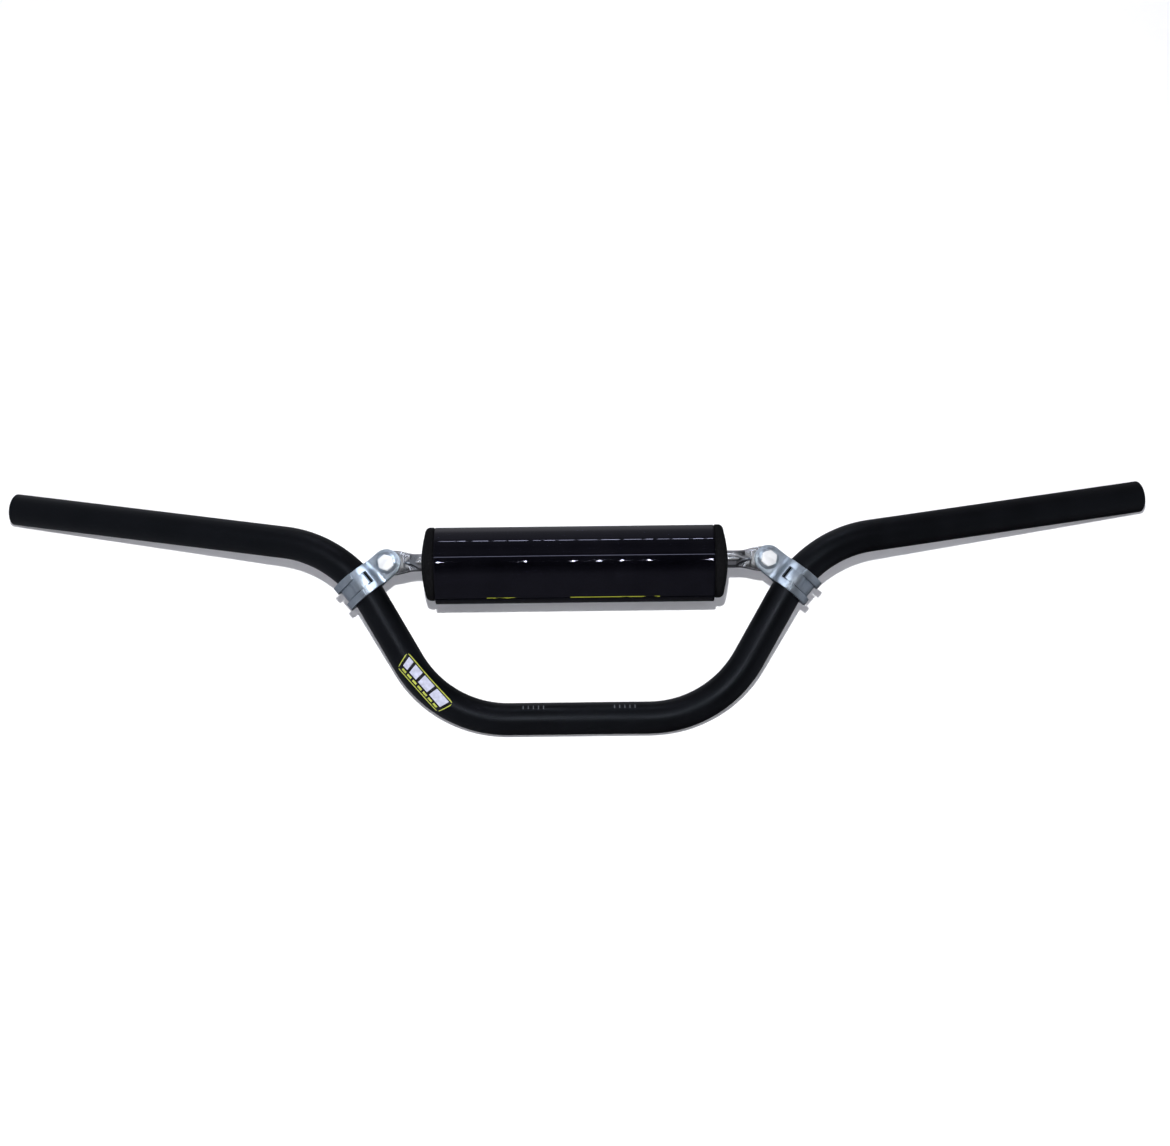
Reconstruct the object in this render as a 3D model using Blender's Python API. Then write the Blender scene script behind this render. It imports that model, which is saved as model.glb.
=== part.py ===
# Motocross handlebar with a clamped crossbar and a foam pad round the crossbar.
# Metres. +X runs along the bar, +Z is up, -Y faces the viewer and the bar ends sweep to +Y.
# The origin is the middle of the clamp zone, on the tube's axis.

import math

import bmesh
import bpy
from mathutils import Vector

# Air left between pieces that touch
FIT_GAP = 0.0003
# Corners of neighbouring cells closer than this are one point
WELD_GRID = 1e-7

# Main tube
BAR_DIAMETER = 0.0222
BAR_WALL = 0.004
BAR_WIDTH = 0.802          # between the centres of the two end faces
BAR_RISE = 0.1502          # end faces above the clamp zone's axis
BAR_SWEEP = 0.0526         # end faces behind the clamp zone's axis
CLAMP_ZONE_LENGTH = 0.097  # straight run at the bottom
LOWER_BEND_RADIUS = 0.079
LEG_ANGLE = math.radians(60.2)
UPPER_CORNER_HEIGHT = 0.1183
UPPER_BEND_RADIUS = 0.083
BAR_END_CHAMFER = 0.0006
BAR_SIDES = 24
BEND_STEP = math.radians(7.5)

# Crossbar, a round tube crushed flat at both ends
CROSSBAR_DIAMETER = 0.012
CROSSBAR_WALL = 0.0014
CRUSH_SLIT = 0.0005        # slit left between the crushed walls
FLAT_WIDTH = 0.017
RIDGE_START = 0.022        # the round part starts to narrow, measured back from the bolt
RIDGE_TIP = 0.012          # the round part has narrowed to a point
FLARE_START = 0.020        # the outline starts to widen
FLARE_END = 0.005
CREASE_ANGLE = math.radians(30)
RIDGE_TIP_WIDTH = 0.0012
CROSSBAR_TIP_RADIUS = 0.0082
ARC_STEPS = 3
RIDGE_STEP = 0.002
FLAT_STEP = 0.0035
TIP_TURNS = (math.radians(30), math.radians(55), math.radians(80))

# Clamps, each of two stamped plates that hook into each other on the outer side
CLAMP_INTO_BEND = 0.0143   # clamp centre past the start of the upper bend
PLATE = 0.002
STRAP_WIDTH = 0.019
BOLT_OFFSET = 0.0237       # bolt axis from the bar's axis
EAR_RADIUS = 0.0095
EAR_BEND_RADIUS = 0.006    # mid-plane radius where the ear meets the band
TONGUE_WIDTH = 0.0082
TONGUE_RELIEF = 0.0006     # slit beside the tongue
SLOT_START = math.radians(45)
HOOK_ANGLE = math.radians(67.5)
HOOK_BEND_RADIUS = 0.0016
HOOK_REACH = 0.0012        # straight tip of the hook below its bend
FRONT_EDGE = math.radians(95)
SIDE_TAB_END = math.radians(188)
TONGUE_JOGGLE_START = math.radians(248)
TONGUE_JOGGLE_END = math.radians(262)
SIDE_JOGGLE_START = math.radians(155)
SIDE_JOGGLE_END = math.radians(167)
SIDE_EDGE = math.radians(270)
BAND_STEP = math.radians(9)
JOGGLE_STEPS = 4
EAR_STEPS = 5
EAR_TIP_TURN = math.radians(78)
EAR_FOLD_STEPS = 6
HOOK_FOLD_STEPS = 4

# Bolts, lock washers and nuts
BOLT_DIAMETER = 0.006
BOLT_HOLE_DIAMETER = 0.0066
HEX_ACROSS_FLATS = 0.010
BOLT_FLANGE_DIAMETER = 0.0142
BOLT_FLANGE_THICKNESS = 0.0011
BOLT_FLANGE_RISE = 0.0009
BOLT_HEAD_HEIGHT = 0.0058
BOLT_END_BEYOND_NUT = 0.0018
EDGE_CHAMFER = 0.0007
WASHER_DIAMETER = 0.0118
WASHER_THICKNESS = 0.0016
WASHER_SPLIT = 0.0008
NUT_HEIGHT = 0.005
ROUND_SIDES = 24

# Foam pad, held by its own spring on the crossbar
PAD_TO_BOLT = 0.0289       # crossbar left bare, from the pad's rim to the bolt's axis
PAD_DIAMETER = 0.0506
PAD_DOME = 0.0030          # how far the middle of each end stands out
PAD_EDGE_RADIUS = 0.0036
PAD_DROP = 0.0012          # pad axis below the crossbar axis, which the bore follows
PAD_SHIFT = -0.002         # pad slid along the crossbar
PAD_SQUEEZE = 0.0013       # foam pulled in under the cover
PAD_SLIT = 0.0008
PAD_SLIT_ANGLE = math.radians(215)
PAD_SIDES = 32
PAD_EDGE_STEPS = 4
SHOULDER_STEPS = 4
DOME_STEPS = 4

# Vinyl cover, wrapped round the foam and closed underneath
FOAM_SHOWING = 0.0068      # foam between the cover's edge and the pad's rim
VINYL = 0.0008
CLOSURE_ANGLE = math.radians(270)
CLOSURE_STRIP_WIDTH = 0.016
CLOSURE_STRIP_THICKNESS = 0.00045
CLOSURE_STRIP_INSET = 0.002
CLOSURE_MARGIN = math.radians(4)
FLAP_RAMP = math.radians(20)
COVER_STEP = math.radians(9)

# Printed film laid straight on the left lower bend, a generic pattern of bars and blocks
DECAL_THICKNESS = 0.0003
DECAL_LENGTH = 0.0455
DECAL_WIDTH = 0.0125
DECAL_CENTRE = 0.1132      # along the tube's axis from the middle of the bar
DECAL_TURN = math.radians(1.8)
DECAL_TILT = math.radians(-2.2)
DECAL_BORDER = 0.0007
DECAL_BAR_LENGTHS = (0.012, 0.0095, 0.007, 0.0045)
DECAL_BAR_SPACE = 0.0022
DECAL_BAR_WIDTH = 0.0066
DECAL_BAR_OFFSET = 0.0014  # bars towards the upper edge
DECAL_BLOCK_LENGTH = 0.0040
DECAL_BLOCK_WIDTH = 0.0014
DECAL_BLOCK_SPACE = 0.0016
DECAL_BLOCK_COUNT = 7
DECAL_BLOCK_OFFSET = -0.0038
DECAL_CELL = 0.0026

FRONT = Vector((0, -1, 0))
UP = Vector((0, 0, 1))
ALONG = Vector((1, 0, 0))


def make_material(name, colour, roughness, metallic):
    material = bpy.data.materials.new(name)
    material.use_nodes = True
    material.diffuse_color = (*colour, 1.0)
    shader = material.node_tree.nodes["Principled BSDF"]
    shader.inputs["Base Color"].default_value = (*colour, 1.0)
    shader.inputs["Roughness"].default_value = roughness
    shader.inputs["Metallic"].default_value = metallic
    return material


def smooth_step(share):
    share = min(max(share, 0.0), 1.0)
    return share * share * (3.0 - 2.0 * share)


def blend(low, high, share):
    return low + (high - low) * share


def spread(low, high, step):
    # Even divisions from low to high, none longer than step
    count = max(1, math.ceil(abs(high - low) / step - 1e-6))
    return [blend(low, high, index / count) for index in range(count + 1)]


def joined(*runs):
    # Runs of values that share their end values, as one run
    values = list(runs[0])
    for run in runs[1:]:
        values.extend(run[1:])
    return values


def on_side(points, side):
    return [Vector((side * point.x, point.y, point.z)) for point in points]


def add_piece(name, vertices, faces, materials, face_slots=None, crease=math.radians(35)):
    mesh = bpy.data.meshes.new(name)
    mesh.from_pydata([tuple(vertex) for vertex in vertices], [], faces)
    for material in materials:
        mesh.materials.append(material)
    if face_slots:
        mesh.polygons.foreach_set("material_index", face_slots)
    shell = bmesh.new()
    shell.from_mesh(mesh)
    bmesh.ops.recalc_face_normals(shell, faces=shell.faces)
    shell.to_mesh(mesh)
    shell.free()
    mesh.shade_smooth()
    mesh.set_sharp_from_angle(angle=crease)
    piece = bpy.data.objects.new(name, mesh)
    bpy.context.scene.collection.objects.link(piece)
    return piece


def loft(rings, closed=False):
    # Skins rings of equal length. A closed loft joins its last ring to its first,
    # and an open one gets a face over each end.
    size = len(rings[0])
    vertices = [point for ring in rings for point in ring]
    faces = []
    spans = len(rings) if closed else len(rings) - 1
    for span in range(spans):
        here = span * size
        there = ((span + 1) % len(rings)) * size
        for index in range(size):
            after = (index + 1) % size
            faces.append((here + index, here + after, there + after, there + index))
    if not closed:
        faces.append(tuple(range(size)))
        faces.append(tuple(range(len(vertices) - size, len(vertices))))
    return vertices, faces


CELL_FACES = (
    (0, 1, 2, 3),
    (4, 5, 6, 7),
    (0, 1, 5, 4),
    (1, 2, 6, 5),
    (2, 3, 7, 6),
    (3, 0, 4, 7),
)


def weld_cells(cells, slots=None):
    # One solid from six-sided cells: walls that two cells share drop out,
    # so cells that are left out become slots and windows.
    index_of = {}
    vertices = []
    walls = {}
    for number, cell in enumerate(cells):
        corners = []
        for point in cell:
            key = tuple(round(value / WELD_GRID) for value in point)
            if key not in index_of:
                index_of[key] = len(vertices)
                vertices.append(point)
            corners.append(index_of[key])
        for order in CELL_FACES:
            wall = tuple(corners[corner] for corner in order)
            walls.setdefault(frozenset(wall), []).append((wall, number))
    faces = []
    face_slots = []
    for owners in walls.values():
        if len(owners) == 1:
            wall, number = owners[0]
            faces.append(wall)
            face_slots.append(slots[number] if slots else 0)
    return vertices, faces, face_slots


class Route:
    # A centreline of straight runs and tangent arcs, measured along its own length

    def __init__(self, corners, radii):
        self.spans = []
        self.length = 0.0
        start = corners[0]
        for before, corner, after, radius in zip(corners, corners[1:], corners[2:], radii):
            into = (corner - before).normalized()
            out = (after - corner).normalized()
            turn = into.angle(out)
            setback = radius * math.tan(turn / 2)
            arc_start = corner - into * setback
            inward = (out - into * out.dot(into)).normalized()
            self.add_span(arc_start - start, start, into, None, 0.0)
            self.add_arc(arc_start, into, inward, radius, turn)
            start = corner + out * setback
        last = corners[-1] - start
        self.add_span(last, start, last.normalized(), None, 0.0)

    def add_span(self, run, start, into, inward, radius):
        self.spans.append((self.length, run.length, start, into, inward, radius))
        self.length += run.length

    def add_arc(self, start, into, inward, radius, turn):
        self.spans.append((self.length, radius * turn, start, into, inward, radius))
        self.length += radius * turn

    def at(self, distance):
        # Point and tangent at a distance from the start
        for first, run, start, into, inward, radius in self.spans:
            if distance <= first + run:
                break
        along = distance - first
        if inward is None:
            return start + into * along, into
        turn = along / radius
        point = start + into * radius * math.sin(turn) + inward * radius * (1 - math.cos(turn))
        return point, into * math.cos(turn) + inward * math.sin(turn)

    def frame(self, distance):
        # Point, tangent, front and inner side of the tube at a distance
        point, tangent = self.at(distance)
        front = (FRONT - tangent * FRONT.dot(tangent)).normalized()
        return point, tangent, front, front.cross(tangent)

    def distances(self, arc_step):
        values = [0.0]
        for first, run, start, into, inward, radius in self.spans:
            step = run if inward is None else radius * arc_step
            values.extend(spread(first, first + run, step)[1:])
        return values


def bar_route():
    lower_x = CLAMP_ZONE_LENGTH / 2 + LOWER_BEND_RADIUS * math.tan(LEG_ANGLE / 2)
    lower = Vector((lower_x, 0, 0))
    upper = Vector((lower_x + UPPER_CORNER_HEIGHT / math.tan(LEG_ANGLE), 0, UPPER_CORNER_HEIGHT))
    end = Vector((BAR_WIDTH / 2, BAR_SWEEP, BAR_RISE))
    return Route([Vector((0, 0, 0)), lower, upper, end], [LOWER_BEND_RADIUS, UPPER_BEND_RADIUS])


def circle(centre, first, second, radius, sides):
    points = []
    for index in range(sides):
        turn = 2 * math.pi * index / sides
        points.append(centre + (first * math.cos(turn) + second * math.sin(turn)) * radius)
    return points


def build_bar(route, material):
    outer = BAR_DIAMETER / 2
    inner = outer - BAR_WALL
    runs = route.distances(BEND_STEP)
    runs.insert(-1, route.length - BAR_END_CHAMFER)
    outer_rings = []
    inner_rings = []
    for distance in runs:
        point, tangent, front, side = route.frame(distance)
        trim = BAR_END_CHAMFER if distance == runs[-1] else 0.0
        outer_rings.append(circle(point, front, side, outer - trim, BAR_SIDES))
        inner_rings.append(circle(point, front, side, inner, BAR_SIDES))
    whole_outer = [on_side(ring, -1) for ring in reversed(outer_rings[1:])] + outer_rings
    whole_inner = [on_side(ring, -1) for ring in reversed(inner_rings[1:])] + inner_rings
    vertices, faces = loft(whole_outer + whole_inner[::-1], closed=True)
    return add_piece("handlebar_tube", vertices, faces, [material])


class ClampPlace:
    # Where a clamp sits on the right-hand bend: its centre on the tube's axis, the tube's
    # direction, the front and the direction to the bolt

    def __init__(self, route):
        middle = route.spans[3][0] + CLAMP_INTO_BEND
        centre, self.tangent, self.front, self.to_bolt = route.frame(middle)
        # A straight bore on a bent tube: the tube's axis bows across it, so the bore is
        # that much larger and its axis lies half way between the two
        chord = (route.at(middle - STRAP_WIDTH / 2)[0] + route.at(middle + STRAP_WIDTH / 2)[0]) / 2
        bow = (chord - centre).length
        self.centre = (centre + chord) / 2
        self.bolt = self.centre + self.to_bolt * BOLT_OFFSET
        self.bore = BAR_DIAMETER / 2 + FIT_GAP + bow / 2

    def point(self, reach, height, across):
        return self.centre + self.to_bolt * reach + self.front * height + self.tangent * across


# Half of the crushed crossbar end, and the height of the clamp plates beside it
FLAT_HALF = CROSSBAR_WALL + CRUSH_SLIT / 2
EAR_INNER = FLAT_HALF + FIT_GAP
EAR_OUTER = EAR_INNER + PLATE


class Station:
    # One cross-line of a bent plate: a point of its mid-plane, its normal and its half width

    def __init__(self, reach, height, normal, half_width=STRAP_WIDTH / 2):
        self.reach = reach
        self.height = height
        self.normal = normal
        self.half_width = half_width


def polar_station(angle, radius, slope=0.0):
    # On a band round the tube. Slope is the change of radius with angle.
    radial = (math.cos(angle), math.sin(angle))
    normal = Vector((radial[0] * radius + radial[1] * slope, radial[1] * radius - radial[0] * slope))
    return Station(radial[0] * radius, radial[1] * radius, normal.normalized())


def band(angles, radius):
    return [polar_station(angle, radius) for angle in angles]


def joggle(start, end, low, high):
    # The plate steps from one radius to another between two angles
    stations = []
    for angle in spread(start, end, (end - start) / JOGGLE_STEPS):
        share = (angle - start) / (end - start)
        slope = (high - low) * 6 * share * (1 - share) / (end - start)
        stations.append(polar_station(angle, blend(low, high, smooth_step(share)), slope))
    return stations


def ear_stations(band_radius):
    # The flat ear from its round tip to the bend, then the bend that meets the band
    mid = (EAR_INNER + EAR_OUTER) / 2
    outward = Vector((0, 1))
    stations = []
    for turn in spread(EAR_TIP_TURN, 0.0, EAR_TIP_TURN / EAR_STEPS):
        reach = BOLT_OFFSET + EAR_RADIUS * math.sin(turn)
        stations.append(Station(reach, mid, outward, EAR_RADIUS * math.cos(turn)))
    fold_height = mid + EAR_BEND_RADIUS
    fold_reach = math.sqrt((band_radius + EAR_BEND_RADIUS) ** 2 - fold_height ** 2)
    meet = math.atan2(fold_height, fold_reach)
    for turn in spread(0.0, math.pi / 2 - meet, (math.pi / 2 - meet) / EAR_FOLD_STEPS):
        normal = Vector((math.sin(turn), math.cos(turn)))
        reach = fold_reach - normal.x * EAR_BEND_RADIUS
        height = fold_height - normal.y * EAR_BEND_RADIUS
        stations.append(Station(reach, height, normal))
    return stations, meet


def hook_stations(radius):
    # The tongue's tip turns in through the slot of the other plate
    radial = Vector((math.cos(HOOK_ANGLE), math.sin(HOOK_ANGLE)))
    towards_ear = Vector((radial.y, -radial.x))
    centre = radial * (radius - HOOK_BEND_RADIUS)
    stations = []
    for turn in spread(0.0, math.pi / 2, math.pi / 2 / HOOK_FOLD_STEPS):
        normal = radial * math.cos(turn) + towards_ear * math.sin(turn)
        middle = centre + normal * HOOK_BEND_RADIUS
        stations.append(Station(middle.x, middle.y, normal))
    tip = centre + towards_ear * HOOK_BEND_RADIUS - radial * HOOK_REACH
    stations.append(Station(tip.x, tip.y, towards_ear))
    return stations


def plate_cells(place, stations, low, high, flip):
    # Cells of a bent plate between two lines across it. Flip turns it to the rear.
    rows = []
    for station in stations:
        row = []
        for offset in (-PLATE / 2, PLATE / 2):
            reach = station.reach + station.normal.x * offset
            height = (station.height + station.normal.y * offset) * flip
            for edge in (low, high):
                across = edge * station.half_width / (STRAP_WIDTH / 2)
                row.append(place.point(reach, height, across))
        rows.append(row)
    cells = []
    for here, there in zip(rows, rows[1:]):
        cells.append((here[0], here[1], there[1], there[0], here[2], here[3], there[3], there[2]))
    return cells


def build_clamp_front(place, side, name, material, cutter):
    # Slotted plate: ear, band over the front, and two side tabs under the other plate
    band_radius = place.bore + PLATE / 2
    ear, meet = ear_stations(band_radius)
    radius = band_radius + PLATE + FIT_GAP
    hook_back = (HOOK_BEND_RADIUS - PLATE / 2 - FIT_GAP) / (radius - HOOK_BEND_RADIUS)
    slot_end = HOOK_ANGLE - hook_back
    to_slot = ear + band(spread(meet, SLOT_START, BAND_STEP)[1:], band_radius)
    slot = band(spread(SLOT_START, slot_end, BAND_STEP), band_radius)
    to_edge = band(spread(slot_end, FRONT_EDGE, BAND_STEP), band_radius)
    tabs = band(spread(FRONT_EDGE, SIDE_TAB_END, BAND_STEP), band_radius)
    half = STRAP_WIDTH / 2
    window = TONGUE_WIDTH / 2 + FIT_GAP
    cells = []
    for stations, zones in (
        (to_slot, ((-half, -window), (-window, window), (window, half))),
        (slot, ((-half, -window), (window, half))),
        (to_edge, ((-half, -window), (-window, window), (window, half))),
        (tabs, ((-half, -window), (window, half))),
    ):
        for low, high in zones:
            cells.extend(plate_cells(place, stations, low, high, 1))
    cells = [on_side(cell, side) for cell in cells]
    vertices, faces, slots = weld_cells(cells)
    return drilled(add_piece(name, vertices, faces, [material]), cutter)


def build_clamp_rear(place, side, name, material, cutter):
    # Tongued plate: ear, band round the back and outer side, raised over the side tabs,
    # and a middle tongue that steps over the front plate and hooks into its slot
    band_radius = place.bore + PLATE / 2
    raised = band_radius + PLATE + FIT_GAP
    ear, meet = ear_stations(band_radius)
    shared = ear + band(spread(meet, SIDE_JOGGLE_START, BAND_STEP)[1:], band_radius)
    sides = joined(
        joggle(SIDE_JOGGLE_START, SIDE_JOGGLE_END, band_radius, raised),
        band(spread(SIDE_JOGGLE_END, SIDE_EDGE, BAND_STEP), raised),
    )
    hook_start = 2 * math.pi - HOOK_ANGLE
    tip = []
    for station in hook_stations(raised):
        tip.append(Station(station.reach, -station.height, Vector((station.normal.x, -station.normal.y))))
    tongue = joined(
        band(spread(SIDE_JOGGLE_START, TONGUE_JOGGLE_START, BAND_STEP), band_radius),
        joggle(TONGUE_JOGGLE_START, TONGUE_JOGGLE_END, band_radius, raised),
        band(spread(TONGUE_JOGGLE_END, hook_start, BAND_STEP), raised),
        tip,
    )
    half = STRAP_WIDTH / 2
    middle = TONGUE_WIDTH / 2
    slit = middle + TONGUE_RELIEF
    cells = []
    for low, high in ((-half, -slit), (-slit, -middle), (-middle, middle), (middle, slit), (slit, half)):
        cells.extend(plate_cells(place, shared, low, high, -1))
    for low, high in ((-half, -slit), (slit, half)):
        cells.extend(plate_cells(place, sides, low, high, -1))
    cells.extend(plate_cells(place, tongue, -middle, middle, -1))
    cells = [on_side(cell, side) for cell in cells]
    vertices, faces, slots = weld_cells(cells)
    return drilled(add_piece(name, vertices, faces, [material]), cutter)


def drilled(piece, cutter):
    hole = piece.modifiers.new("bolt hole", "BOOLEAN")
    hole.operation = "DIFFERENCE"
    hole.solver = "EXACT"
    hole.object = cutter
    return piece


def turned_rings(centre, axis, first, profile, side):
    # Rings round an axis from (height, radius, across flats) rows; a hexagon where flats is set
    second = axis.cross(first)
    rings = []
    for height, radius, flats in profile:
        ring = []
        for index in range(ROUND_SIDES):
            turn = 2 * math.pi * index / ROUND_SIDES
            reach = radius
            if flats:
                from_flat = (turn + math.pi / 6) % (math.pi / 3) - math.pi / 6
                reach = min(flats / 2 / math.cos(from_flat), radius)
            direction = first * math.cos(turn) + second * math.sin(turn)
            ring.append(centre + axis * height + direction * reach)
        rings.append(on_side(ring, side))
    return rings


HEX_CORNER = HEX_ACROSS_FLATS / 2 / math.cos(math.pi / 6)
NUT_FACE = EAR_OUTER + FIT_GAP + WASHER_THICKNESS + FIT_GAP


def build_cutter(place, side, name):
    profile = ((-2 * EAR_OUTER, BOLT_HOLE_DIAMETER / 2, 0), (2 * EAR_OUTER, BOLT_HOLE_DIAMETER / 2, 0))
    rings = turned_rings(place.bolt, place.front, place.to_bolt, profile, side)
    vertices, faces = loft(rings)
    cutter = add_piece(name, vertices, faces, [])
    cutter.hide_render = True
    cutter.display_type = "WIRE"
    return cutter


def build_bolt(place, side, name, material):
    seat = EAR_OUTER + FIT_GAP
    shank = BOLT_DIAMETER / 2
    end = -(NUT_FACE + NUT_HEIGHT + BOLT_END_BEYOND_NUT)
    flange = BOLT_FLANGE_DIAMETER / 2
    top = seat + BOLT_HEAD_HEIGHT
    neck = seat + BOLT_FLANGE_THICKNESS + BOLT_FLANGE_RISE
    profile = (
        (end, shank - EDGE_CHAMFER, 0),
        (end + EDGE_CHAMFER, shank, 0),
        (seat, shank, 0),
        (seat, flange, 0),
        (seat + BOLT_FLANGE_THICKNESS, flange, 0),
        (neck, HEX_CORNER, HEX_ACROSS_FLATS),
        (top - EDGE_CHAMFER, HEX_CORNER, HEX_ACROSS_FLATS),
        (top, HEX_ACROSS_FLATS / 2, HEX_ACROSS_FLATS - EDGE_CHAMFER),
    )
    rings = turned_rings(place.bolt, place.front, place.to_bolt, profile, side)
    vertices, faces = loft(rings)
    return add_piece(name, vertices, faces, [material])


def build_nut(place, side, name, material):
    bore = BOLT_DIAMETER / 2 + FIT_GAP
    far = NUT_FACE + NUT_HEIGHT
    face = HEX_ACROSS_FLATS - EDGE_CHAMFER
    profile = (
        (-NUT_FACE, HEX_ACROSS_FLATS / 2, face),
        (-NUT_FACE - EDGE_CHAMFER, HEX_CORNER, HEX_ACROSS_FLATS),
        (-far + EDGE_CHAMFER, HEX_CORNER, HEX_ACROSS_FLATS),
        (-far, HEX_ACROSS_FLATS / 2, face),
        (-far, bore + EDGE_CHAMFER, 0),
        (-far + EDGE_CHAMFER, bore, 0),
        (-NUT_FACE, bore, 0),
    )
    rings = turned_rings(place.bolt, place.front, place.to_bolt, profile, side)
    vertices, faces = loft(rings, closed=True)
    return add_piece(name, vertices, faces, [material])


def build_washer(place, side, name, material):
    # Split spring washer between the nut and the rear ear
    inner = BOLT_DIAMETER / 2 + FIT_GAP
    outer = WASHER_DIAMETER / 2
    near = EAR_OUTER + FIT_GAP
    half_split = WASHER_SPLIT / (inner + outer)
    axis = place.front
    first = place.to_bolt
    second = axis.cross(first)
    rings = []
    for turn in spread(half_split, 2 * math.pi - half_split, 2 * math.pi / ROUND_SIDES):
        outward = first * math.cos(turn) + second * math.sin(turn)
        section = []
        for radius, height in ((inner, near), (outer, near), (outer, near + WASHER_THICKNESS),
                               (inner, near + WASHER_THICKNESS)):
            section.append(place.bolt + outward * radius - axis * height)
        rings.append(on_side(section, side))
    vertices, faces = loft(rings)
    return add_piece(name, vertices, faces, [material])


def crushed_section(radius, half_width, crease, crease_height, ridge):
    # Outline of the crossbar in its own (width, height) plane. The outer part runs from the
    # edge to the crease and the inner part bulges from one crease to the other.
    corner = Vector((radius * math.cos(CREASE_ANGLE), radius * math.sin(CREASE_ANGLE)))
    flatness = smooth_step((half_width - radius) / (FLAT_WIDTH / 2 - CROSSBAR_DIAMETER / 2))
    edge_half = min(crease_height, half_width)
    quarter = []
    for index in range(ARC_STEPS):
        share = index / ARC_STEPS
        turn = CREASE_ANGLE * share
        round_part = Vector((half_width - radius + radius * math.cos(turn), radius * math.sin(turn)))
        bow = math.pi / 2 * share
        flat_part = Vector((half_width - edge_half + edge_half * math.cos(bow), edge_half * math.sin(bow)))
        quarter.append(round_part.lerp(flat_part, max(flatness, 1 - crease / corner.x)))
    for index in range(ARC_STEPS + 1):
        turn = blend(CREASE_ANGLE, math.pi / 2, index / ARC_STEPS)
        rise = (math.sin(turn) - math.sin(CREASE_ANGLE)) / (1 - math.sin(CREASE_ANGLE))
        width = crease * math.cos(turn) / math.cos(CREASE_ANGLE)
        quarter.append(Vector((width, blend(crease_height, ridge, rise))))
    left = [Vector((-point.x, point.y)) for point in reversed(quarter[:-1])]
    upper = quarter + left
    lower = [Vector((point.x, -point.y)) for point in reversed(upper[1:-1])]
    return upper + lower


def crossbar_rings(place, wall):
    # Rings of the right half, from the middle to the tip, of the outer skin or, with a wall,
    # of the cavity
    flat_run = (ALONG - place.front * ALONG.dot(place.front)).normalized()
    straight_end = place.bolt - flat_run * RIDGE_START
    radius = CROSSBAR_DIAMETER / 2 - wall
    flat_half = FLAT_HALF - wall
    backs = [place.bolt.x]
    backs += spread(RIDGE_START + RIDGE_STEP / 2, RIDGE_TIP, RIDGE_STEP)
    backs += spread(RIDGE_TIP, FLARE_END, FLAT_STEP)[1:]
    backs += [0.0]
    backs += [-CROSSBAR_TIP_RADIUS * math.sin(turn) for turn in TIP_TURNS]
    rings = []
    for back in backs:
        ease = smooth_step((RIDGE_START - back) / (RIDGE_START - RIDGE_TIP))
        narrow = min(max((RIDGE_START - back) / (RIDGE_START - RIDGE_TIP), 0.0), 1.0)
        flare = smooth_step((FLARE_START - back) / (FLARE_START - FLARE_END))
        half_width = blend(CROSSBAR_DIAMETER / 2, FLAT_WIDTH / 2, flare) - wall
        if back < 0:
            half_width = math.sqrt(CROSSBAR_TIP_RADIUS ** 2 - back ** 2) - wall / 2
        crease = blend(radius * math.cos(CREASE_ANGLE), RIDGE_TIP_WIDTH / 2, narrow)
        crease = min(crease, half_width / 2) if back <= RIDGE_TIP else crease
        crease_height = blend(radius * math.sin(CREASE_ANGLE), flat_half, smooth_step(2 * narrow))
        ridge = blend(radius, flat_half, narrow * narrow)
        normal = FRONT.lerp(place.front, ease).normalized()
        if back > RIDGE_START:
            centre = Vector((place.bolt.x - back, straight_end.y, straight_end.z))
            run = ALONG
        else:
            centre = place.bolt - flat_run * back
            run = flat_run
        across = normal.cross(run)
        section = crushed_section(radius, half_width, crease, crease_height, ridge)
        rings.append([centre + across * spot.x + normal * spot.y for spot in section])
    return rings


def build_crossbar(place, material, cutters):
    skins = []
    for wall in (0.0, CROSSBAR_WALL):
        right = crossbar_rings(place, wall)
        left = [on_side(ring, -1) for ring in reversed(right[1:])]
        skins.append(left + right)
    vertices, faces = loft(skins[0] + skins[1][::-1], closed=True)
    piece = add_piece("crossbar_tube", vertices, faces, [material])
    for cutter in cutters:
        drilled(piece, cutter)
    return piece


class PadPlace:
    # The pad's axis, and the radii of the layers round it

    def __init__(self, clamp_place):
        flat_run = (ALONG - clamp_place.front * ALONG.dot(clamp_place.front)).normalized()
        bar_axis = clamp_place.bolt - flat_run * RIDGE_START
        self.centre = Vector((PAD_SHIFT, bar_axis.y, bar_axis.z - PAD_DROP))
        self.rim_along = clamp_place.bolt.x - PAD_TO_BOLT
        self.cover_along = self.rim_along - FOAM_SHOWING
        self.foam = PAD_DIAMETER / 2 - PAD_SQUEEZE
        self.cover = self.foam + FIT_GAP
        self.loop = self.cover + VINYL + FIT_GAP
        self.hook = self.loop + CLOSURE_STRIP_THICKNESS + FIT_GAP
        self.flap = self.hook + CLOSURE_STRIP_THICKNESS + FIT_GAP

    def bore(self, angle):
        # Distance from the pad's axis to the wall of the bore, which is round the crossbar
        radius = CROSSBAR_DIAMETER / 2 + FIT_GAP
        return PAD_DROP * math.sin(angle) + math.sqrt(radius ** 2 - (PAD_DROP * math.cos(angle)) ** 2)

    def point(self, along, radius, angle):
        # Angle 0 is the front, a quarter turn is the top
        return self.centre + ALONG * along + (FRONT * math.cos(angle) + UP * math.sin(angle)) * radius


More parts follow.
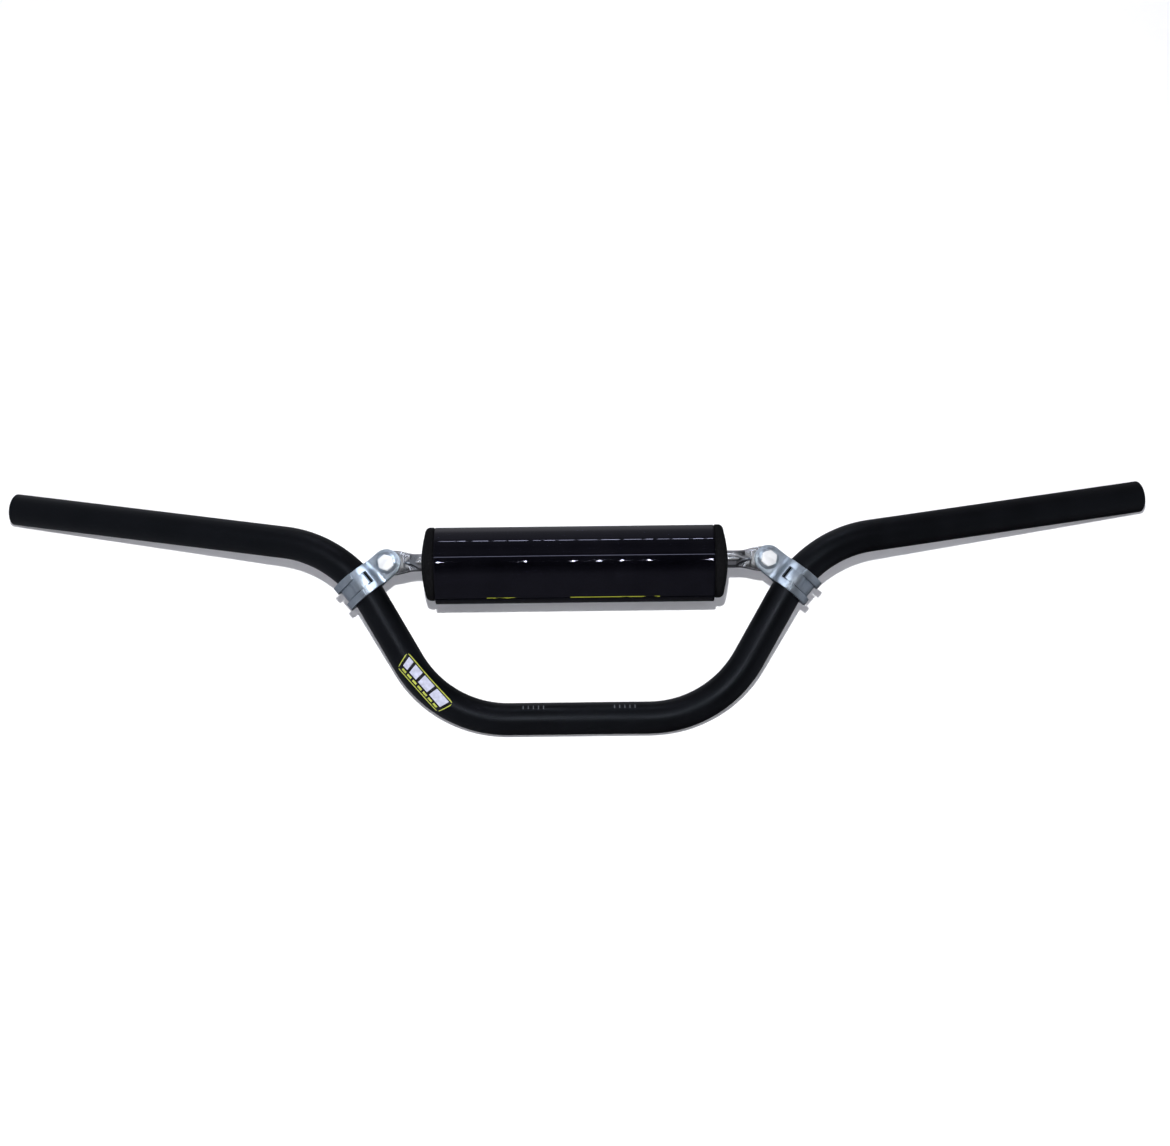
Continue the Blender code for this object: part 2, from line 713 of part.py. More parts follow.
def foam_half_profile(pad, bore):
    # (along, radius) points of the right half, from the bore round the end to the middle
    rim = PAD_DIAMETER / 2
    dome_edge = rim - PAD_EDGE_RADIUS
    edge_along = pad.rim_along - PAD_EDGE_RADIUS
    points = []
    for radius in spread(bore, dome_edge, (dome_edge - bore) / DOME_STEPS):
        points.append((pad.rim_along + PAD_DOME * (1 - (radius / dome_edge) ** 2), radius))
    for turn in spread(0.0, math.pi / 2, math.pi / 2 / PAD_EDGE_STEPS)[1:]:
        along = edge_along + PAD_EDGE_RADIUS * math.cos(turn)
        points.append((along, dome_edge + PAD_EDGE_RADIUS * math.sin(turn)))
    for share in spread(0.0, 1.0, 1.0 / SHOULDER_STEPS)[1:]:
        along = blend(edge_along, pad.cover_along + FIT_GAP, share)
        points.append((along, blend(rim, pad.foam, smooth_step(share))))
    return points


def build_foam(pad, material):
    half_slit = PAD_SLIT / PAD_DIAMETER
    rings = []
    start = PAD_SLIT_ANGLE + half_slit
    for angle in spread(start, start + 2 * math.pi - 2 * half_slit, 2 * math.pi / PAD_SIDES):
        right = foam_half_profile(pad, pad.bore(angle))
        left = [(-along, radius) for along, radius in reversed(right)]
        rings.append([pad.point(along, radius, angle) for along, radius in right + left])
    vertices, faces = loft(rings)
    return add_piece("pad_foam", vertices, faces, [material])


def sheet_cells(pad, rows, low, high):
    # Cells of a sheet wrapped round the pad, from (angle, inner radius, thickness) rows
    cells = []
    for (turn, radius, thickness), (next_turn, next_radius, next_thickness) in zip(rows, rows[1:]):
        corners = []
        for along in (low, high):
            corners.append(pad.point(along, radius, turn))
            corners.append(pad.point(along, radius + thickness, turn))
            corners.append(pad.point(along, next_radius + next_thickness, next_turn))
            corners.append(pad.point(along, next_radius, next_turn))
        cells.append(tuple(corners))
    return cells


def build_cover(pad, material):
    # The sheet starts under the closure, goes round the back, top and front,
    # and ends as a flap over its own start
    half_strip = CLOSURE_STRIP_WIDTH / 2 / pad.loop
    inner_end = CLOSURE_ANGLE + half_strip + CLOSURE_MARGIN
    flap_end = CLOSURE_ANGLE - half_strip - CLOSURE_MARGIN - 2 * math.pi
    ramp_end = inner_end - 2 * math.pi + CLOSURE_MARGIN
    rows = []
    for angle in spread(inner_end, ramp_end + FLAP_RAMP, COVER_STEP):
        rows.append((angle, pad.cover, VINYL))
    for angle in spread(ramp_end + FLAP_RAMP, ramp_end, COVER_STEP / 2)[1:]:
        share = (ramp_end + FLAP_RAMP - angle) / FLAP_RAMP
        rows.append((angle, blend(pad.cover, pad.flap, smooth_step(share)), VINYL))
    for angle in spread(ramp_end, flap_end, COVER_STEP)[1:]:
        rows.append((angle, pad.flap, VINYL))
    vertices, faces, slots = weld_cells(sheet_cells(pad, rows, -pad.cover_along, pad.cover_along))
    return add_piece("pad_cover", vertices, faces, [material])


def build_closure_strip(pad, name, radius, material):
    half_strip = CLOSURE_STRIP_WIDTH / 2 / pad.loop
    reach = pad.cover_along - CLOSURE_STRIP_INSET
    rows = []
    for angle in spread(CLOSURE_ANGLE - half_strip, CLOSURE_ANGLE + half_strip, COVER_STEP):
        rows.append((angle, radius, CLOSURE_STRIP_THICKNESS))
    vertices, faces, slots = weld_cells(sheet_cells(pad, rows, -reach, reach))
    return add_piece(name, vertices, faces, [material])


def decal_fields():
    # Rectangles of the print as (low, high, bottom, top, material slot)
    fields = []
    bars = sum(DECAL_BAR_LENGTHS) + DECAL_BAR_SPACE * (len(DECAL_BAR_LENGTHS) - 1)
    low = -bars / 2
    bottom = DECAL_BAR_OFFSET - DECAL_BAR_WIDTH / 2
    for length in DECAL_BAR_LENGTHS:
        fields.append((low, low + length, bottom, bottom + DECAL_BAR_WIDTH, 1))
        low += length + DECAL_BAR_SPACE
    blocks = DECAL_BLOCK_COUNT * DECAL_BLOCK_LENGTH + (DECAL_BLOCK_COUNT - 1) * DECAL_BLOCK_SPACE
    low = -blocks / 2
    bottom = DECAL_BLOCK_OFFSET - DECAL_BLOCK_WIDTH / 2
    for index in range(DECAL_BLOCK_COUNT):
        fields.append((low, low + DECAL_BLOCK_LENGTH, bottom, bottom + DECAL_BLOCK_WIDTH, 2))
        low += DECAL_BLOCK_LENGTH + DECAL_BLOCK_SPACE
    return fields


def cut_lines(edges, step):
    lines = sorted(set(round(edge, 7) for edge in edges))
    return joined(*[spread(low, high, step) for low, high in zip(lines, lines[1:])])


def build_decal(route, materials):
    half_length = DECAL_LENGTH / 2
    half_width = DECAL_WIDTH / 2
    fields = decal_fields()
    long_edges = [-half_length, -half_length + DECAL_BORDER, half_length - DECAL_BORDER, half_length]
    wide_edges = [-half_width, -half_width + DECAL_BORDER, half_width - DECAL_BORDER, half_width]
    for low, high, bottom, top, slot in fields:
        long_edges += [low, high]
        wide_edges += [bottom, top]
    long_lines = cut_lines(long_edges, DECAL_CELL)
    wide_lines = cut_lines(wide_edges, DECAL_CELL)
    seat = BAR_DIAMETER / 2 + FIT_GAP

    def spot(along, wide, height):
        # The film is straight and the tube bends away from under it, so both its ends
        # lie nearer the outer side of the bend
        lean = DECAL_TILT + along / LOWER_BEND_RADIUS
        run = LOWER_BEND_RADIUS * (math.sin(lean) - math.sin(DECAL_TILT)) + wide * math.sin(lean)
        rise = LOWER_BEND_RADIUS * (math.cos(lean) - math.cos(DECAL_TILT)) + wide * math.cos(lean)
        turn = DECAL_TURN + rise / seat
        stretch = LOWER_BEND_RADIUS / (LOWER_BEND_RADIUS - seat * math.sin(turn))
        point, tangent, front, inner_side = route.frame(DECAL_CENTRE + run * stretch)
        return point + (front * math.cos(turn) + inner_side * math.sin(turn)) * height

    cells = []
    slots = []
    for low, high in zip(long_lines, long_lines[1:]):
        for bottom, top in zip(wide_lines, wide_lines[1:]):
            middle = ((low + high) / 2, (bottom + top) / 2)
            slot = 0
            for field_low, field_high, field_bottom, field_top, field_slot in fields:
                if field_low < middle[0] < field_high and field_bottom < middle[1] < field_top:
                    slot = field_slot
            if abs(middle[0]) > half_length - DECAL_BORDER or abs(middle[1]) > half_width - DECAL_BORDER:
                slot = 2
            corners = []
            for height in (seat, seat + DECAL_THICKNESS):
                corners.append(spot(low, bottom, height))
                corners.append(spot(high, bottom, height))
                corners.append(spot(high, top, height))
                corners.append(spot(low, top, height))
            cells.append(on_side(corners, -1))
            slots.append(slot)
    vertices, faces, face_slots = weld_cells(cells, slots)
    return add_piece("decal_left", vertices, faces, materials, face_slots)


def main():
    for item in list(bpy.data.objects):
        bpy.data.objects.remove(item)

    black_tube = make_material("black anodised tube", (0.012, 0.013, 0.016), 0.38, 0.6)
    chrome = make_material("chromed steel", (0.62, 0.63, 0.65), 0.12, 1.0)
    zinc = make_material("zinc plated steel", (0.60, 0.64, 0.68), 0.35, 1.0)
    bolt_zinc = make_material("bright zinc bolt", (0.75, 0.77, 0.78), 0.25, 1.0)
    foam = make_material("black foam", (0.010, 0.010, 0.011), 0.9, 0.0)
    vinyl = make_material("black gloss vinyl", (0.008, 0.009, 0.012), 0.15, 0.0)
    closure = make_material("black hook and loop tape", (0.015, 0.015, 0.016), 0.95, 0.0)
    film = make_material("decal ground", (0.012, 0.012, 0.016), 0.3, 0.0)
    film_white = make_material("decal pale lavender", (0.66, 0.66, 0.82), 0.3, 0.0)
    film_lime = make_material("decal lime", (0.52, 0.60, 0.07), 0.3, 0.0)

    route = bar_route()
    place = ClampPlace(route)
    pad = PadPlace(place)

    build_bar(route, black_tube)
    cutters = []
    for side, word in ((-1, "left"), (1, "right")):
        cutter = build_cutter(place, side, "bolt_hole_" + word)
        cutters.append(cutter)
        build_clamp_front(place, side, "clamp_front_" + word, zinc, cutter)
        build_clamp_rear(place, side, "clamp_rear_" + word, zinc, cutter)
        build_bolt(place, side, "clamp_bolt_" + word, bolt_zinc)
        build_washer(place, side, "clamp_washer_" + word, zinc)
        build_nut(place, side, "clamp_nut_" + word, bolt_zinc)
    build_crossbar(place, chrome, cutters)
    build_foam(pad, foam)
    build_cover(pad, vinyl)
    build_closure_strip(pad, "pad_loop_strip", pad.loop, closure)
    build_closure_strip(pad, "pad_hook_strip", pad.hook, closure)
    build_decal(route, [film, film_white, film_lime])


main()
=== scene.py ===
import math

import bmesh
import bpy
from mathutils import Matrix, Vector, noise


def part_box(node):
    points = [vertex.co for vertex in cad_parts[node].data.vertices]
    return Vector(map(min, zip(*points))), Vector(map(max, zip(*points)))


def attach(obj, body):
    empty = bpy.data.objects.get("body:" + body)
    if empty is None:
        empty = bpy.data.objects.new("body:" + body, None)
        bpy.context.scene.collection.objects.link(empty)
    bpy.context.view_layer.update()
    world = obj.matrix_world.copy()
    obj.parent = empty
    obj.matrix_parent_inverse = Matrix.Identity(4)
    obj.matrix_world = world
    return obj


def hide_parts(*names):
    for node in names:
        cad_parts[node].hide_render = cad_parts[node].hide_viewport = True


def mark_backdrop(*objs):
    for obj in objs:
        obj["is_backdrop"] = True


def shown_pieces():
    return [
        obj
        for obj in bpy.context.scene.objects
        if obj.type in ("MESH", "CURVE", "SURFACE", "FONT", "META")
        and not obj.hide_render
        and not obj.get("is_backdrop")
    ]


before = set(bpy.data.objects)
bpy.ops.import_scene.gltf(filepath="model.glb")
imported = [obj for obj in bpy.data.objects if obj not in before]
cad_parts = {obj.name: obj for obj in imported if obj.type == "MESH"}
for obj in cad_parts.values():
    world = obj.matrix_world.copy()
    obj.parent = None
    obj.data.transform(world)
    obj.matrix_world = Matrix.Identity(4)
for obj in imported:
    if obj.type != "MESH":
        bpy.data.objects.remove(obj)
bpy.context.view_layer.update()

scene = bpy.context.scene


# camera, as the photograph was taken

cameraPlace = {
    "location": (0.0051, -1.4, 0.1001),
    "roll": -0.664,        # degrees, the right side of the picture is a little higher
    "lens": 62.52,
}

camera = bpy.data.objects.new("photoCamera", bpy.data.cameras.new("photoCamera"))
camera.data.sensor_width = 36
camera.data.lens = cameraPlace["lens"]
camera.matrix_world = (Matrix.Translation(cameraPlace["location"])
                       @ Matrix.Rotation(math.radians(90), 4, "X")
                       @ Matrix.Rotation(math.radians(cameraPlace["roll"]), 4, "Z"))
scene.collection.objects.link(camera)
scene.camera = camera
scene.view_settings.view_transform = "Standard"


# small helpers

def linear(text):
    # sRGB hex to the linear colour that shaders take
    channels = []
    for index in (1, 3, 5):
        value = int(text[index:index + 2], 16) / 255
        channels.append(value / 12.92 if value <= 0.04045 else ((value + 0.055) / 1.055) ** 2.4)
    return (*channels, 1.0)


def connect(tree, node, inputs):
    # plain values go on the sockets; sockets, and nodes by their first output, are linked
    for name, value in inputs.items():
        if isinstance(value, bpy.types.Node):
            value = value.outputs[0]
        if isinstance(value, bpy.types.NodeSocket):
            tree.links.new(value, node.inputs[name])
        else:
            node.inputs[name].default_value = value


def addNode(tree, kind, inputs=None, stops=None, **settings):
    # one shader node with its settings, inputs and, on a ramp, its stops
    node = tree.nodes.new("ShaderNode" + kind)
    for name, value in settings.items():
        setattr(node, name, value)
    connect(tree, node, inputs or {})
    if stops:
        elements = node.color_ramp.elements
        while len(elements) < len(stops):
            elements.new(0.5)
        for element, (place, colour) in zip(elements, stops):
            element.position = place
            element.color = linear(colour)
    return node


def spread(value, low, high):
    # inputs that turn the middle of a noise, 0.3 to 0.7, into low to high
    return {"Value": value, "From Min": 0.3, "From Max": 0.7, "To Min": low, "To Max": high}


def newMaterial(name):
    # the material, its tree, its shader and the place on the object
    material = bpy.data.materials.new(name)
    material.use_nodes = True
    tree = material.node_tree
    return material, tree, tree.nodes["Principled BSDF"], addNode(tree, "TexCoord").outputs["Object"]


def onlySelect(piece):
    if bpy.context.mode != "OBJECT":
        bpy.ops.object.mode_set(mode="OBJECT")
    bpy.ops.object.select_all(action="DESELECT")
    if piece:
        piece.select_set(True)
        bpy.context.view_layer.objects.active = piece
    return piece


def added(name):
    # names the primitive just added and puts its place into its mesh
    piece = bpy.context.object
    piece.name = name
    piece.data.name = name
    bpy.ops.object.transform_apply(location=True, rotation=True, scale=True)
    return piece


def cylinder(name, sides, radius, low, high, **settings):
    # round the Z axis, between two heights
    onlySelect(None)
    bpy.ops.mesh.primitive_cylinder_add(vertices=sides, radius=radius, depth=high - low,
                                        location=(0, 0, (high + low) / 2), **settings)
    return added(name)


def editPick(piece, kind, test):
    # goes into edit mode with only the verts, edges or faces that pass the test selected
    onlySelect(piece)
    bpy.ops.object.mode_set(mode="EDIT")
    bpy.ops.mesh.select_mode(type={"verts": "VERT", "edges": "EDGE", "faces": "FACE"}[kind])
    bpy.ops.mesh.select_all(action="DESELECT")
    shell = bmesh.from_edit_mesh(piece.data)
    for element in getattr(shell, kind):
        if test(element):
            element.select_set(True)
    shell.select_flush_mode()
    bmesh.update_edit_mesh(piece.data)


def finishWith(piece, kind, **settings):
    # adds a modifier and applies it
    onlySelect(piece)
    modifier = piece.modifiers.new(kind.lower(), kind)
    for name, value in settings.items():
        setattr(modifier, name, value)
    bpy.ops.object.modifier_apply(modifier=modifier.name)
    return piece


def bevelled(piece, width, segments=2, degrees=50, **settings):
    return finishWith(piece, "BEVEL", width=width, segments=segments, limit_method="ANGLE",
                      angle_limit=math.radians(degrees), **settings)


def cutWith(piece, tool, operation="DIFFERENCE"):
    finishWith(piece, "BOOLEAN", object=tool, operation=operation, solver="EXACT")
    bpy.data.objects.remove(tool)
    return piece


def cleaned(piece, distance=1e-6):
    editPick(piece, "verts", lambda vertex: True)
    bpy.ops.mesh.remove_doubles(threshold=distance)
    bpy.ops.mesh.normals_make_consistent(inside=False)
    bpy.ops.object.mode_set(mode="OBJECT")
    return piece


def mirrored(piece, distance=1e-6):
    # the right half gets its left half
    finishWith(piece, "MIRROR", use_axis=(True, False, False), use_clip=True, merge_threshold=1e-5)
    return cleaned(piece, distance)


def smoothed(piece, degrees=40):
    onlySelect(piece)
    bpy.ops.object.shade_smooth_by_angle(angle=math.radians(degrees))
    return piece


def placed(piece, matrix):
    onlySelect(piece)
    piece.data.transform(matrix)
    piece.data.update()
    return piece


def copied(piece, name, matrix):
    twin = piece.copy()
    twin.data = piece.data.copy()
    twin.name = name
    twin.data.name = name
    scene.collection.objects.link(twin)
    twin.data.transform(matrix)
    return twin


def nodeCopy(node, name):
    # a merged copy of a CAD node, ready for finer edges
    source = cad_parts[node]
    twin = bpy.data.objects.new(name, source.data.copy())
    twin.data.name = name
    scene.collection.objects.link(twin)
    onlySelect(twin)
    if twin.data.has_custom_normals:
        bpy.ops.mesh.customdata_custom_splitnormals_clear()
    twin.data.materials.clear()
    editPick(twin, "verts", lambda vertex: True)
    bpy.ops.mesh.remove_doubles(threshold=2e-6)
    bpy.ops.mesh.tris_convert_to_quads(face_threshold=math.radians(3), shape_threshold=math.radians(80))
    bpy.ops.object.mode_set(mode="OBJECT")
    return twin


def dress(piece, material, slot, node):
    # the last step of each piece: material, the body it rides on, what it stands for and the lamps that reach it
    piece.data.materials.clear()
    piece.data.materials.append(material)
    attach(piece, "root")
    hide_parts(node)
    lit["set"].objects.link(piece)
    if slot in ("clamp", "fastener", "washer"):
        lit[piece.name.split("_")[-1]].objects.link(piece)
    if slot in ("tube", "crossbar"):
        lit[slot].objects.link(piece)
    return piece


# the tube's route, as in the CAD

tubeRoute = {
    "clampZone": 0.097, "lowerBend": 0.079, "upperBend": 0.083, "legAngle": 60.2,
    "cornerHeight": 0.1183, "halfWidth": 0.401, "sweep": 0.0526, "rise": 0.1502,
}


def routeSpans(shape):
    # straight runs and arcs of the right half: start, length, point, direction, inward, radius
    leg = math.radians(shape["legAngle"])
    lowerX = shape["clampZone"] / 2 + shape["lowerBend"] * math.tan(leg / 2)
    upperX = lowerX + shape["cornerHeight"] / math.tan(leg)
    corners = [Vector((0, 0, 0)), Vector((lowerX, 0, 0)), Vector((upperX, 0, shape["cornerHeight"])),
               Vector((shape["halfWidth"], shape["sweep"], shape["rise"]))]
    spans = []
    at, point = 0.0, corners[0]
    for index, radius in ((1, shape["lowerBend"]), (2, shape["upperBend"])):
        into = (corners[index] - corners[index - 1]).normalized()
        out = (corners[index + 1] - corners[index]).normalized()
        turn = into.angle(out)
        arcStart = corners[index] - into * radius * math.tan(turn / 2)
        inward = (out - into * out.dot(into)).normalized()
        spans.append((at, (arcStart - point).length, point, into, None, 0.0))
        at += (arcStart - point).length
        spans.append((at, radius * turn, arcStart, into, inward, radius))
        at += radius * turn
        point = corners[index] + out * radius * math.tan(turn / 2)
    last = corners[3] - point
    spans.append((at, last.length, point, last.normalized(), None, 0.0))
    return spans


spans = routeSpans(tubeRoute)
barTube = {"radius": 0.0111, "wall": 0.004, "sides": 72, "stepDegrees": 3.0, "endRounding": 0.0007}


def along(distance):
    # point and direction on the tube's axis
    start, run, point, into, inward, radius = [span for span in spans if span[0] <= distance][-1]
    if inward is None:
        return point + into * (distance - start), into
    turn = (distance - start) / radius
    place = point + into * radius * math.sin(turn) + inward * radius * (1 - math.cos(turn))
    return place, into * math.cos(turn) + inward * math.sin(turn)


def tubeFrame(distance):
    # point, direction, front and inner side of the tube
    point, tangent = along(distance)
    front = Vector((0, -1, 0))
    front = (front - tangent * front.dot(tangent)).normalized()
    return point, tangent, front, front.cross(tangent)


# stage and light

stageLook = {
    "boardGap": 0.0004,    # the bottom tube and both ends lie on the white board
    "floorZ": -0.36, "floorSize": 6.0, "boardFoot": -0.40, "boardTop": 1.1, "boardWidth": 4.0,
    "boardTones": ("#f3f3f4", "#f6f6f7"), "floorTones": ("#e8e8ea", "#eeeeef"),
    # in reflections only: round from the wall, down, to the camera (0.5), up and back to the wall
    "roomTones": ((0.0, "#3a3a3d"), (0.136, "#3c3c3f"), (0.206, "#4b4b4f"), (0.258, "#6a6a6f"), (0.344, "#747479"),
                  (0.403, "#707074"), (0.439, "#444448"), (0.478, "#101012"), (0.511, "#202024"), (0.542, "#38383c"),
                  (0.597, "#5e5e64"), (0.653, "#55555b"), (0.694, "#66666c"), (0.739, "#8a8a90"), (0.822, "#8c8c92"),
                  (0.858, "#aaaab0"), (0.908, "#919196"), (1.0, "#7c7c80")),
    # how much of the paler side walls shows, from left to right
    "sideShare": ((0.0, "#ffffff"), (0.2, "#ffffff"), (0.43, "#000000"), (0.75, "#000000"), (0.9, "#ffffff")),
    "roomSides": "#777a81",
    # the right half of the room is darker
    "rightShade": ((0.5, "#ffffff"), (0.6, "#a0a0a0"), (0.78, "#a0a0a0"), (0.9, "#ffffff")),
    "fill": 0.30, "fillTone": "#f2f3ff", "backdrop": "#f9f9fa",
}


def mattPaint(piece, name, scale, detail, tones, roughness, gloss):
    # Matt wall paint: even, very slightly blotched and without a highlight.
    material, tree, shader, place = newMaterial(name)
    grain = addNode(tree, "TexNoise", {"Vector": place, "Scale": scale, "Detail": detail})
    tone = addNode(tree, "ValToRGB", {"Fac": grain}, ((0.3, tones[0]), (0.7, tones[1])))
    connect(tree, shader, {"Base Color": tone, "Roughness": roughness, "Specular IOR Level": gloss})
    piece.data.materials.append(material)
    return tree, shader


def buildStage(look):
    lean = math.atan2(tubeRoute["sweep"], tubeRoute["rise"])
    upward = Vector((0, math.sin(lean), math.cos(lean)))
    behind = Vector((0, math.cos(lean), -math.sin(lean))) * (barTube["radius"] + look["boardGap"])
    bpy.ops.mesh.primitive_plane_add(size=1, rotation=(math.pi / 2 - lean, 0, 0),
                                     location=behind + upward * (look["boardTop"] + look["boardFoot"]) / 2)
    bpy.context.object.scale = (look["boardWidth"], look["boardTop"] - look["boardFoot"], 1)
    board = added("whiteBoard")
    bpy.ops.mesh.primitive_plane_add(size=look["floorSize"], location=(0, 0, look["floorZ"]))
    floor = added("paleFloor")

    # the board is seen only from its front, so that the back of the bar stays open to view
    tree, shader = mattPaint(board, "matt white board", 6.0, 2.0, look["boardTones"], 0.9, 0.1)
    clear = addNode(tree, "BsdfTransparent")
    mix = addNode(tree, "MixShader", {0: addNode(tree, "NewGeometry").outputs["Backfacing"], 1: shader, 2: clear})
    connect(tree, tree.nodes["Material Output"], {"Surface": mix})
    mattPaint(floor, "matt pale floor", 3.0, 3.0, look["floorTones"], 0.85, 0.5)
    for surface in (board, floor):
        surface.visible_glossy = False     # the studio shot keeps both out of the black gloss
    board.visible_shadow = False           # and the light behind it open
    lit["set"].objects.link(board)
    lit["floor"].objects.link(floor)
    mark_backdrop(board, floor)

    # the room: reflections see a dim studio with paler sides, and it is plain white where it is looked at
    world = bpy.data.worlds.new("studio")
    world.use_nodes = True
    scene.world = world
    tree = world.node_tree
    tree.nodes.clear()
    parts = addNode(tree, "SeparateXYZ", {"Vector": addNode(tree, "TexCoord").outputs["Generated"]})
    forward = addNode(tree, "Math", {0: parts.outputs["Y"], 1: -1.0}, operation="MULTIPLY")
    angle = addNode(tree, "Math", {0: parts.outputs["Z"], 1: forward}, operation="ARCTAN2")
    turn = addNode(tree, "MapRange", {"Value": angle, "From Min": -math.pi, "From Max": math.pi})
    tone = addNode(tree, "ValToRGB", {"Fac": turn}, look["roomTones"])
    across = addNode(tree, "MapRange", {"Value": parts.outputs["X"], "From Min": -1.0, "From Max": 1.0})
    sideways = addNode(tree, "ValToRGB", {"Fac": across}, look["sideShare"])
    room = addNode(tree, "Mix", {"Factor": sideways, "A": tone, "B": linear(look["roomSides"])}, data_type="RGBA")
    shade = addNode(tree, "ValToRGB", {"Fac": across}, look["rightShade"])
    room = addNode(tree, "Mix", {"Factor": 1.0, "A": room.outputs["Result"], "B": shade}, data_type="RGBA",
                   blend_type="MULTIPLY")
    path = addNode(tree, "LightPath")
    glossy = addNode(tree, "Background", {"Color": room.outputs["Result"]})
    fill = addNode(tree, "Background", {"Color": linear(look["fillTone"]), "Strength": look["fill"]})
    plain = addNode(tree, "Background", {"Color": linear(look["backdrop"])})
    inner = addNode(tree, "MixShader", {0: path.outputs["Is Glossy Ray"], 1: fill, 2: glossy})
    mix = addNode(tree, "MixShader", {0: path.outputs["Is Camera Ray"], 1: inner, 2: plain})
    addNode(tree, "OutputWorld", {"Surface": mix})


lampPlan = {
    # name: place, aimed at, width, height, power, colour, seen in reflections, what it may reach
    "flash": ((-0.02, -1.45, 0.32), (0.0, 0.03, 0.09), 0.03, 0.03, 24.0, "#ffffff", False, "set"),
    "stripFront": ((0.0, -1.50, 0.70), (0, 0, 0.106), 1.8, 0.030, 1.2, "#eef3ff", True, "set"),
    "tubeGlow": ((-0.02, -1.55, 0.229), (0, 0, 0.10), 0.42, 0.04, 1.9, "#f4f6fc", True, "tube"),
    "leftKey": ((0.55, -1.25, 0.55), (-0.14, 0.0, 0.09), 0.50, 0.50, 6.2, "#f2f7ff", True, "left"),
    "leftSide": ((1.00, -0.70, 1.35), (-0.14, 0.0, 0.10), 1.6, 0.9, 14.0, "#e6f0ff", True, "left"),
    "leftOuter": ((-1.35, -0.80, 1.00), (-0.14, 0.0, 0.10), 1.6, 0.9, 2.0, "#e6f0ff", True, "left"),
    "rightKey": ((-0.62, -1.25, 0.48), (0.14, 0.0, 0.09), 0.36, 0.36, 2.1, "#f2f7ff", True, "right"),
    "rightSide": ((-1.10, -0.70, 1.20), (0.14, 0.0, 0.10), 1.6, 0.9, 7.5, "#e8eefa", True, "right"),
    "rightOuter": ((1.35, -0.80, 1.00), (0.14, 0.0, 0.10), 1.6, 0.9, 2.2, "#f4f4f4", True, "right"),
    "chromeTop": ((0.3, -0.75, 1.35), (0, 0, 0.108), 2.4, 1.0, 2.3, "#f4f6fa", True, "crossbar"),
    "chromeFront": ((0.0, -1.60, 0.24), (0, 0, 0.108), 1.6, 0.45, 0.9, "#f4f6fa", True, "crossbar"),
    "backSoftbox": ((0.0, 1.5, 1.2), (0, 0, 0.1), 1.6, 0.8, 6.0, "#ffffff", False, "set"),
    "floorSoftbox": ((0, 0, 2.4), (0, 0, 0), 8.0, 8.0, 190.0, "#ffffff", False, "floor"),
}
sparkLamps = {
    # place across, power; small lamps beside the camera, which the vinyl shows as a row of bright dots
    "lamps": ((-0.2045, 0.16), (-0.080, 0.11), (-0.012, 0.11), (0.025, 0.11), (0.058, 0.11), (0.097, 0.11),
              (0.186, 0.13)),
    "y": -1.55, "z": 0.229, "aimZ": 0.1, "width": 0.0012, "height": 0.07,
}
tubeLamps = {
    # a broken row of short tubes overhead: left end, right end, power for each metre
    "runs": ((-0.196, -0.174, 1.2), (-0.170, -0.160, 2.4), (-0.150, -0.128, 1.8), (-0.121, -0.104, 1.4),
             (-0.100, -0.074, 1.8), (-0.066, -0.056, 1.2), (-0.051, -0.036, 2.0), (-0.031, -0.010, 1.5),
             (-0.003, 0.023, 1.4), (0.028, 0.053, 2.0), (0.060, 0.084, 1.5), (0.089, 0.100, 2.3),
             (0.106, 0.122, 1.2), (0.127, 0.149, 1.8), (0.155, 0.169, 2.3), (0.174, 0.20, 1.5)),
    "y": -0.37, "z": 1.51, "aimZ": 0.106, "depth": 0.030,
}


def addLamp(name, place, target, width, height, power, colour, glossy):
    data = bpy.data.lights.new(name, "AREA")
    data.shape = "RECTANGLE"
    data.size = width
    data.size_y = height
    data.energy = power
    data.color = linear(colour)[:3]
    lamp = bpy.data.objects.new(name, data)
    lamp.location = place
    lamp.rotation_euler = (Vector(target) - Vector(place)).to_track_quat("-Z", "Y").to_euler()
    lamp.visible_glossy = glossy
    scene.collection.objects.link(lamp)
    return lamp


def buildLights():
    for name, plan in lampPlan.items():
        lamp = addLamp(name, *plan[:-1])
        lamp.visible_camera = False
        lamp.light_linking.receiver_collection = lit[plan[-1]]
    for number, (low, high, power) in enumerate(tubeLamps["runs"]):
        middle = (low + high) / 2
        addLamp("tubeLamp%d" % number, (middle, tubeLamps["y"], tubeLamps["z"]), (middle, 0, tubeLamps["aimZ"]),
                high - low, tubeLamps["depth"], power * (high - low), "#eef3ff", True)
    for number, (x, power) in enumerate(sparkLamps["lamps"]):
        addLamp("sparkLamp%d" % number, (x, sparkLamps["y"], sparkLamps["z"]), (0, 0, sparkLamps["aimZ"]),
                sparkLamps["width"], sparkLamps["height"], power, "#ffffff", True)


# light linking: the collections that a lamp may reach
lit = {word: bpy.data.collections.new(word + "Lit") for word in ("tube", "left", "right", "crossbar", "set", "floor")}
buildStage(stageLook)
buildLights()
print("stage, camera and light are up")


# materials

laserMarks = {
    # short lines on the front, either side of the clamp zone; half is half the length of their row
    "start": 0.024, "pitch": 0.0035, "middle": 0.0314, "half": 0.0074, "z": 0.0084, "halfHeight": 0.0011,
    "lineHalf": 0.1, "tone": "#55585e",
}


